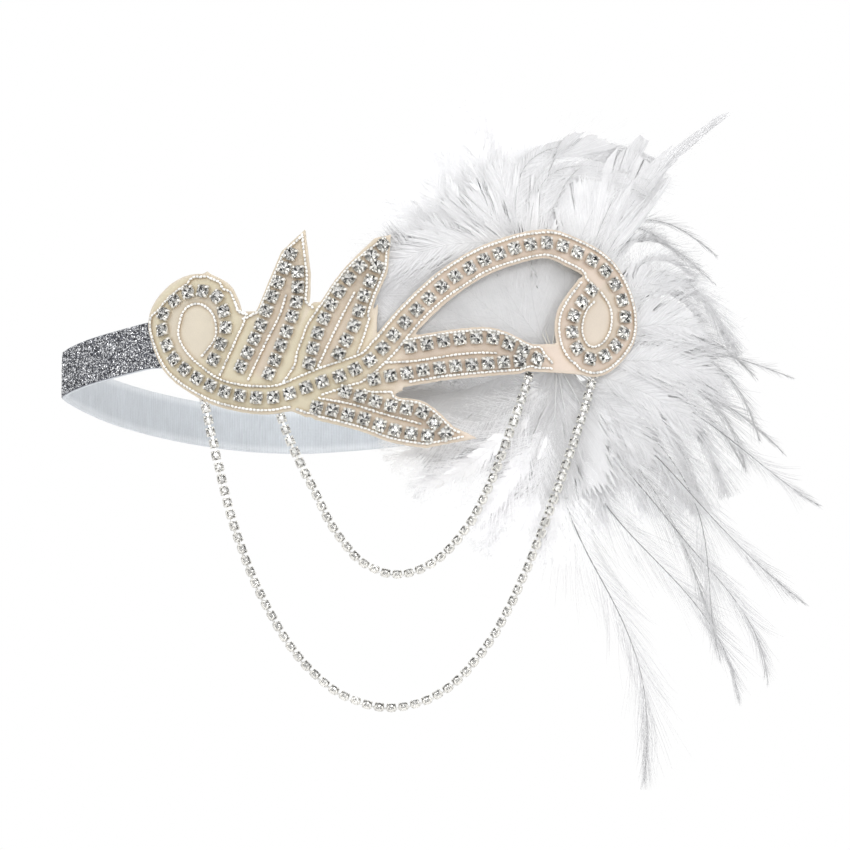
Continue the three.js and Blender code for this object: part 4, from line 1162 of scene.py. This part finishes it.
# opening angles from the quill at its foot and tip, how far a barb closes along itself,
# clump length in millimetres, hairs on each barb and their length, reach of the closed sheet,
# radius of the quill, its share without barbs, and how much painted shade greys the tips
barbForms = {
    "fluff": {"spacing": 0.3, "thick": 0.13, "open": (56, 30), "close": 0.3, "wave": 0.45, "loft": 0.8,
              "clump": 3.0, "swing": 0.2, "points": 7, "fuzz": 3, "fuzzLong": 2.0, "shade": (238, 253),
              "sheet": 0.5, "quill": 0.08, "bare": 0.0, "paintedTipShade": 0.15},
    "downTuft": {"spacing": 0.3, "thick": 0.13, "open": (52, 28), "close": 0.3, "wave": 0.4, "loft": 0.45,
                 "clump": 4.0, "swing": 0.14, "points": 7, "fuzz": 3, "fuzzLong": 2.0, "shade": (250, 255),
                 "sheet": 0.3, "quill": 0.06, "bare": 0.0, "paintedTipShade": 0.1},
    "vane": {"spacing": 0.34, "thick": 0.17, "open": (46, 22), "close": 0.55, "wave": 0.1, "loft": 0.4,
             "clump": 6.0, "swing": 0.08, "points": 8, "fuzz": 0, "shade": (224, 244),
             "sheet": 0.75, "quill": 0.12, "bare": 0.0, "paintedTipShade": 0.3},
    "breast": {"spacing": 0.3, "thick": 0.16, "open": (46, 22), "close": 0.5, "wave": 0.2, "loft": 0.45,
               "clump": 3.6, "swing": 0.15, "points": 8, "fuzz": 1, "fuzzLong": 1.4, "shade": (208, 240),
               "sheet": 0.55, "quill": 0.06, "bare": 0.0, "paintedTipShade": 0.5},
    "crest": {"spacing": 0.32, "thick": 0.16, "open": (50, 26), "close": 0.6, "wave": 0.08, "loft": 0.5,
              "clump": 9.0, "swing": 0.06, "points": 8, "fuzz": 0, "shade": (202, 242),
              "sheet": 0.8, "quill": 0.2, "bare": 0.0, "paintedTipShade": 0.45, "outer": 0.16, "ragged": 0.04},
    # the covers lie behind the applique, and their grey shade range is painted shade there
    "cover": {"spacing": 0.45, "thick": 0.14, "open": (46, 26), "close": 0.5, "wave": 0.04, "loft": 0.1,
              "clump": 90.0, "swing": 0.02, "points": 6, "fuzz": 0, "shade": (212, 226),
              "sheet": 0.9, "quill": 0.05, "bare": 0.0, "paintedTipShade": 0.0},
    "lock": {"spacing": 0.3, "thick": 0.15, "open": (32, 12), "close": 0.5, "wave": 0.14, "loft": 1.0,
             "clump": 3.6, "swing": 0.2, "points": 7, "fuzz": 1, "fuzzLong": 1.3, "shade": (182, 249),
             "sheet": 0.3, "quill": 0.16, "bare": 0.0, "paintedTipShade": 0.75},
    "spear": {"spacing": 0.8, "thick": 0.14, "open": (13, 5), "close": 0.6, "wave": 0.01, "loft": 0.05,
              "clump": 12.0, "swing": 0.01, "points": 7, "fuzz": 0, "shade": (206, 246),
              "sheet": 1.0, "quill": 0.2, "bare": 0.0, "paintedTipShade": 0.4, "ragged": 0.0},
    "hackle": {"spacing": 0.6, "thick": 0.12, "open": (34, 7), "close": 0.6, "wave": 0.06, "loft": 1.0,
               "clump": 4.0, "swing": 0.2, "points": 7, "fuzz": 0, "shade": (140, 238),
               "sheet": 0.0, "quill": 0.26, "bare": 0.1, "paintedTipShade": 0.6},
    "wisp": {"spacing": 0.7, "thick": 0.12, "open": (20, 8), "close": 0.4, "wave": 0.1, "loft": 1.0,
             "clump": 2.6, "swing": 0.18, "points": 6, "fuzz": 0, "shade": (150, 210),
             "sheet": 0.0, "quill": 0.2, "bare": 0.3, "paintedTipShade": 0.6},
}


def pastSwags(depth, up):
    # low feathers stay behind the two swags
    return depth + np.maximum(plumeForm["swags"] - depth, 0) * ease(-up, *plumeForm["swagsDown"])


def plumeDepth(across, up):
    flare = np.hypot(across - front["middle"], plumeForm["ease"]) - plumeForm["ease"]
    return pastSwags(plumeForm["behind"] - front["reach"] + plumeForm["flare"] * flare, up)


def coverDepth(across, up):
    # between the felt's back and the elastic, and lower down behind the swags
    inside = front["radius"] - front["felt"]
    reach = np.minimum(np.abs(across - front["middle"]), inside - 1)
    feltBack = front["radius"] - front["reach"] - np.sqrt(inside ** 2 - reach ** 2)
    behind = np.clip(0.5 + plumeForm["coverSlope"] * (across - 20), *plumeForm["coverBehind"])
    return pastSwags(np.minimum(feltBack + behind, plumeDepth(across, 0 * up) - 2), up)


def depthFor(kind):
    return coverDepth if kind in ("cover", "breast", "downTuft") else plumeDepth


def plumeRoot():
    along, up = plumeForm["root"][0] * front["along"], plumeForm["root"][1] * front["up"]
    seat = gapBetween + plumeForm["rootRadius"] ** 2 / (2 * front["radius"])
    near = onFront(along, up, -front["felt"] - seat)
    far = onFront(along, up, -front["felt"] - seat - plumeForm["rootDepth"])
    middle = (near + far) / 2
    return middle + (far - middle) * plumeForm["seat"]


def quillLine(feather, root):
    headings, length, _, lean, kind, foot = feather
    steps = plumeForm["steps"]
    along = np.linspace(0, 1, steps + 1)
    knots = np.linspace(0, 1, len(headings))
    angles = np.radians(np.interp(along, knots, headings))
    for _ in range(6):
        angles[1:-1] = (angles[:-2] + angles[1:-1] + angles[2:]) / 3
    stride = length / steps
    across = root[0] + foot[0] + np.concatenate([[0], np.cumsum(np.cos(angles[:-1]) * stride)])
    up = root[2] + foot[1] + np.concatenate([[0], np.cumsum(np.sin(angles[:-1]) * stride)])
    risen = np.minimum(along / plumeForm["rise"], 1)
    layer = depthFor(kind)(across, up)
    start = root[1] if foot == (0, 0) else layer[0] + 1.0
    depth = start * (1 - risen) + layer * risen + lean * along
    return np.column_stack([across, depth, up]), angles


def vaneWidth(shares, kind):
    # half the feather's width as a share of its widest
    if kind in ("hackle", "wisp"):
        return np.interp(shares, [0, 0.1, 0.3, 0.5, 0.8, 0.95, 1], [0.7, 1.3, 1.5, 1.0, 0.55, 0.15, 0.05])
    if kind == "spear":
        return np.interp(shares, [0, 0.15, 0.5, 0.8, 1], [1.6, 1.5, 0.9, 0.45, 0.08])
    return np.interp(shares, [0, 0.08, 0.25, 0.6, 0.85, 1], [0.3, 0.65, 1.0, 1.05, 0.75, 0.15])


def clumpsOf(length, form, draw):
    # borders of the clumps along one side, and each clump's own swing, reach and loft
    borders = [0.0]
    while borders[-1] < 1:
        borders.append(borders[-1] + form["clump"] / length * draw.uniform(0.6, 1.5))
    count = len(borders)
    return {"borders": np.array(borders[1:]), "swing": draw.normal(0, form["swing"], count),
            "reach": draw.uniform(0.8, 1.12, count), "loft": draw.normal(0, form["loft"], count),
            "tone": draw.uniform(0, 1, count)}


def barbLines(feather, form, quill, angles, clumps, shares, side, steps, jitter, draw, trim=1.0):
    # lines of the barbs that leave the quill at the given shares, on one side
    _, _, width, _, kind, _ = feather
    reach = lengthsOf(quill)
    own = np.searchsorted(clumps["borders"], shares)
    count = len(shares)
    foot = placesAt(quill, shares * reach[-1])
    base = np.interp(shares, np.linspace(0, 1, len(angles)), angles)
    opening = np.radians(form["open"][0] + (form["open"][1] - form["open"][0]) * shares)
    half = vaneWidth(shares, kind) * width / 2
    long = half / np.sin(opening * (1 - form["close"] / 2)) * clumps["reach"][own]
    long = long * (form.get("outer", 1.0) if side > 0 else 1.0) * (1 + jitter * draw.normal(0, 0.12, count))
    room = (1 - shares) * reach[-1] + 2.5
    long = np.minimum(long, room / np.cos(opening * (1 - form["close"] / 2))) * trim
    t = np.linspace(0, 1, steps)
    turn = opening[:, None] * (1 - form["close"] * t) + clumps["swing"][own][:, None] * t
    turn = turn + jitter * draw.normal(0, 0.07, (count, 1))
    phase = draw.uniform(0, 2 * math.pi, (count, 1))
    turn = turn + jitter * form["wave"] * np.sin(t * draw.uniform(2, 5, (count, 1)) + phase) * t
    swing = base[:, None] + side * turn
    stride = (long / (steps - 1))[:, None]
    start = np.zeros((count, 1))
    across = foot[:, :1] + np.hstack([start, np.cumsum(np.cos(swing[:, :-1]) * stride, axis=1)])
    up = foot[:, 2:] + np.hstack([start, np.cumsum(np.sin(swing[:, :-1]) * stride, axis=1)])
    lift = clumps["loft"][own][:, None] * t ** 1.5
    lift = lift + jitter * draw.normal(0, form["loft"] * 0.25, (count, 1)) * t
    layer = depthFor(kind)
    # neighbours lie in five thin layers, so that none share a plane
    lift = lift + jitter * 0.03 * (np.arange(count) % 5)[:, None]
    depth = foot[:, 1:2] + layer(across, up) - layer(foot[:, :1], foot[:, 2:]) + lift
    return np.stack([across, depth, up], axis=-1), swing, clumps["tone"][own]


def barbRibbons(lines, widths, tints, swing, tilt):
    # flat tapering ribbons that lie in the plume's own surface
    sideways = unit(np.stack([-np.sin(swing), np.broadcast_to(tilt, swing.shape), np.cos(swing)], axis=-1))
    left = lines + sideways * widths[..., None] / 2
    right = lines - sideways * widths[..., None] / 2
    points = np.stack([left, right], axis=2).reshape(-1, 3)
    count, steps = lines.shape[:2]
    here = np.arange(count * steps * 2).reshape(count, steps, 2)
    corners = [here[:, :-1, 0], here[:, :-1, 1], here[:, 1:, 1], here[:, 1:, 0]]
    quads = np.stack(corners, axis=-1).reshape(-1, 4)
    return shapeOf(points, [(quads, 0, True)], np.repeat(tints.reshape(-1, 3), 2, axis=0))


def shadesOf(form, tone):
    low, high = (fromSrgb(level, level, level + 1) for level in form["shade"])
    return low * (1 - tone[..., None]) + high * tone[..., None]


def toneOf(form, clumpTone, shares, t, own):
    # painted shade: inner parts stay pale, tips of barbs and of the feather are tinted grey
    dark = form["paintedTipShade"] * (0.55 * t ** 1.5 + 0.45 * shares[:, None] ** 2)
    return shadesOf(form, np.clip(1 - dark - 0.12 * clumpTone[:, None] - own, 0, 1))


def vaneSheet(feather, form, quill, angles, clumps, side, draw):
    # closed part of the vane, slit between its clumps near the edge
    length = lengthsOf(quill)[-1]
    count = int(length / 0.8)
    shares = np.linspace(form["bare"], 0.97, count)
    steps = 7
    own = np.searchsorted(clumps["borders"], shares)
    ragged = form["sheet"] * (1 + form.get("ragged", 0.12) * np.sin(np.arange(count) * 2.4))
    lines, _, tone = barbLines(feather, form, quill, angles, clumps, shares, side, steps, 0.0, draw, ragged)
    lines = lines + (0, 0.3, 0)
    here = np.arange(count * steps).reshape(count, steps)
    quads = np.stack([here[:-1, :-1], here[:-1, 1:], here[1:, 1:], here[1:, :-1]], axis=-1)
    joined = np.broadcast_to((own[1:] == own[:-1])[:, None], (count - 1, steps - 1)).copy()
    joined[:, :3] = True
    # painted shade: the sheet is tinted a little greyer than its barbs, as shade beneath them
    tints = toneOf(form, tone, shares, np.linspace(0, form["sheet"], steps), 0.4)
    return shapeOf(lines.reshape(-1, 3), [(quads[joined], 0, True)], tints.reshape(-1, 3))


def fuzzOf(form, lines, swing, tints, draw):
    # barbules on the outer part of each barb
    count, steps = lines.shape[:2]
    picks = np.repeat(np.arange(count), form["fuzz"])
    where = draw.uniform(0.2, 0.98, len(picks)) * (steps - 1)
    low = np.minimum(where.astype(int), steps - 2)
    part = (where - low)[:, None]
    foot = lines[picks, low] * (1 - part) + lines[picks, low + 1] * part
    lead = swing[picks, low] + draw.choice([-1, 1], len(picks)) * draw.uniform(0.3, 0.8, len(picks))
    size = (form["fuzzLong"] * draw.uniform(0.4, 1.2, len(picks)))[:, None] / 2
    bend = lead + draw.normal(0, 0.4, len(picks))
    middle = foot + np.stack([np.cos(lead), draw.normal(0, 0.2, len(picks)), np.sin(lead)], axis=-1) * size
    tip = middle + np.stack([np.cos(bend), draw.normal(0, 0.2, len(picks)), np.sin(bend)], axis=-1) * size
    strands = np.stack([foot, middle, tip], axis=1)
    widths = np.broadcast_to([0.1, 0.08, 0.03], (len(picks), 3))
    tint = np.repeat(tints[picks, -1][:, None], 3, axis=1)
    return barbRibbons(strands, widths, tint, np.stack([lead, lead, bend], axis=-1), 0.0)


stemForm = {"radius": 0.22, "behind": 4.0, "pull": 6.0, "shade": fromSrgb(238, 236, 230)}


def stemShape(quill, angles, form, draw):
    # bare foot of the quill, from the pad on the felt's back to the first barbs
    along, up = plumeForm["root"][0] * front["along"], plumeForm["root"][1] * front["up"]
    turn = draw.uniform(0, 2 * math.pi)
    away = plumeForm["padRadius"] * 0.8 * math.sqrt(draw.uniform(0, 1))
    seat = onFront(along + away * math.cos(turn), up + away * math.sin(turn), -front["felt"] - 0.2)
    behind = seat - frontAxes(along)[2] * stemForm["behind"]
    heading = np.array([math.cos(angles[0]), 0, math.sin(angles[0])])
    pull = min(stemForm["pull"], 0.4 * np.linalg.norm(quill[0] - seat))
    t = np.linspace(0, 1, 10)[:, None]
    line = (seat * (1 - t) ** 3 + 3 * behind * t * (1 - t) ** 2
            + 3 * (quill[0] - heading * pull) * t ** 2 * (1 - t) + quill[0] * t ** 3)
    aside = [-math.sin(angles[0]), 0, math.cos(angles[0])]
    shape = tubeAlong(line, aside, np.linspace(stemForm["radius"], form["quill"], len(line)))
    shape["tint"] = np.broadcast_to(stemForm["shade"], shape["points"].shape)
    return shape


def quillShape(quill, form):
    # tapering shaft, pale at its foot
    quill = quill[::2]
    along = np.linspace(0, 1, len(quill))
    shape = tubeAlong(quill, [0, 1, 0], form["quill"] * (1 - 0.85 * along))
    paler = 1 - ease(along, 0.1, 0.4)
    shape["tint"] = np.repeat(shadesOf(form, paler) * 0.88, 6, axis=0)
    return shape


def makeFeather(feather, root, draw):
    form = barbForms[feather[4]]
    quill, angles = quillLine(feather, root)
    length = lengthsOf(quill)[-1]
    barbs, sheets = [], []
    for side in (1.0, -1.0):
        clumps = clumpsOf(length, form, draw)
        if form["sheet"] > 0:
            sheets.append(vaneSheet(feather, form, quill, angles, clumps, side, draw))
        count = int(length * (1 - form["bare"]) / form["spacing"])
        shares = np.clip(np.linspace(form["bare"], 0.995, count) + draw.normal(0, 0.003, count), 0.01, 1)
        steps = form["points"]
        lines, swing, tone = barbLines(feather, form, quill, angles, clumps, shares, side, steps, 1.0, draw)
        t = np.linspace(0, 1, steps)
        widths = form["thick"] * (1 - 0.85 * t ** 1.5) * draw.uniform(0.7, 1.3, (count, 1))
        tints = toneOf(form, tone, shares, t, draw.uniform(-0.04, 0.14, (count, 1)))
        barbs.append(barbRibbons(lines, widths, tints, swing, draw.normal(0, 0.12, (count, 1))))
        if form["fuzz"]:
            barbs.append(fuzzOf(form, lines, swing, tints, draw))
    stem = stemShape(quill, angles, form, draw)
    return {"kind": feather[4], "barbs": together(barbs), "sheets": sheets,
            "quill": together([stem, quillShape(quill, form)])}


def makePad():
    # round felt pad that the feathers are glued to
    along, up = plumeForm["root"][0] * front["along"], plumeForm["root"][1] * front["up"]
    turns = np.arange(28) * 2 * math.pi / 28
    rings = []
    uneven = 1 + 0.03 * np.sin(3 * turns + 1) + 0.02 * np.sin(7 * turns)
    for share, out in ((0.9, 0.0), (1.0, 0.12), (1.0, 0.6), (0.94, 0.8), (0.6, 0.95), (0.2, 1.0)):
        reach = share * plumeForm["padRadius"] * uneven
        across, high = along + reach * np.cos(turns), up - reach * np.sin(turns)
        rings.append(onFront(across, high, -front["felt"] - 0.02 - out))
    pad = skin(rings, capStart=True, capEnd=True)
    pad["tint"] = np.broadcast_to(fromSrgb(232, 222, 204), pad["points"].shape)
    addPiece("plumePad", pad, [looks["felt"]])


def makePlume():
    root = plumeRoot()
    made = []
    for number, feather in enumerate(feathers):
        draw = np.random.default_rng([plumeForm["seed"], number])
        made.append(makeFeather(feather, root, draw))
    upper = 12  # how many of the feathers are the upper left's

    def barbsOf(group, *kinds):
        return [one["barbs"] for one in group if one["kind"] in kinds]

    parts = {
        "plumeVanes": [sheet for one in made for sheet in one["sheets"]],
        "plumeDownUpper": barbsOf(made[:upper], "fluff"),
        "plumeDownLower": barbsOf(made[upper:], "fluff", "downTuft"),
        "plumeBarbs": barbsOf(made, "vane", "breast", "spear", "crest", "cover"),
        "plumeLocks": barbsOf(made, "lock"),
        "plumeHackles": barbsOf(made, "hackle", "wisp"),
    }
    for name, shapes in parts.items():
        stands = ["feather_plume"] if name == "plumeVanes" else []
        addPiece(name, together(shapes), [looks["feather"]], stands)
    addPiece("plumeQuills", together([one["quill"] for one in made]), [looks["quill"]])


makePad()
makePlume()

# ---- stage and light
stageForm = {"floorDown": 0.62, "floorWide": 14.0, "paper": fromSrgb(244, 244, 245)}
panels = [
    {"at": (-0.9, -1.5, 1.3), "wide": 0.9, "power": 7.5},
    {"at": (1.3, -1.3, 0.5), "wide": 0.7, "power": 4.0},
    {"at": (0.1, -1.1, -0.95), "wide": 0.6, "power": 3.5},
    {"at": (0.0, -1.9, 0.1), "wide": 0.45, "power": 6.0},
    {"at": (0.4, 1.4, 1.2), "wide": 1.0, "power": 7.0},
]


def makeStage():
    half = stageForm["floorWide"] / 2
    mesh = bpy.data.meshes.new("floor")
    corners = [(-half, -half), (half, -half), (half, half), (-half, half)]
    mesh.from_pydata([(x, y, -stageForm["floorDown"]) for x, y in corners], [], [(0, 1, 2, 3)])
    floor = bpy.data.objects.new("floor", mesh)
    bpy.context.scene.collection.objects.link(floor)
    material, _, shader = newMaterial("paleFloor", Roughness=0.9)
    shader.inputs["Base Color"].default_value = (*stageForm["paper"], 1)
    mesh.materials.append(material)


# a room of dark and bright patches for the glass, which the camera doesn't see
roomForm = {"patches": 2.6, "levels": ((0.38, 0.02), (0.5, 1)), "power": 1.16, "target": (0.04, -0.04, -0.01)}


def makeLights():
    target = Vector(roomForm["target"])
    for number, panel in enumerate(panels):
        data = bpy.data.lights.new(f"softPanel{number}", "AREA")
        data.size = panel["wide"]
        data.energy = panel["power"]
        light = bpy.data.objects.new(data.name, data)
        light.location = panel["at"]
        light.rotation_euler = (target - light.location).to_track_quat("-Z", "Y").to_euler()
        bpy.context.scene.collection.objects.link(light)
    world = bpy.data.worlds.new("studio")
    world.use_nodes = True
    bpy.context.scene.world = world
    tree = world.node_tree
    tree.nodes.clear()
    out = tree.nodes.new("ShaderNodeOutputWorld")
    seen = addNode(tree, "Background", Color=(1, 1, 1, 1), Strength=1.0)
    direction = addNode(tree, "TexCoord").outputs["Generated"]
    patches = addNode(tree, "TexNoise", Vector=direction, Scale=roomForm["patches"], Detail=1.0)
    ramp = addNode(tree, "ValToRGB", Fac=patches.outputs["Fac"])
    for element, (place, level) in zip(ramp.color_ramp.elements, roomForm["levels"]):
        element.position = place
        element.color = (level, level, level, 1)
    room = addNode(tree, "Background", Color=ramp.outputs[0], Strength=roomForm["power"])
    isCamera = addNode(tree, "LightPath").outputs["Is Camera Ray"]
    both = tree.nodes.new("ShaderNodeMixShader")
    for index, source in enumerate((isCamera, room.outputs[0], seen.outputs[0])):
        tree.links.new(source, both.inputs[index])
    tree.links.new(both.outputs[0], out.inputs[0])


makeStage()
makeLights()
print("stage and lights ready")
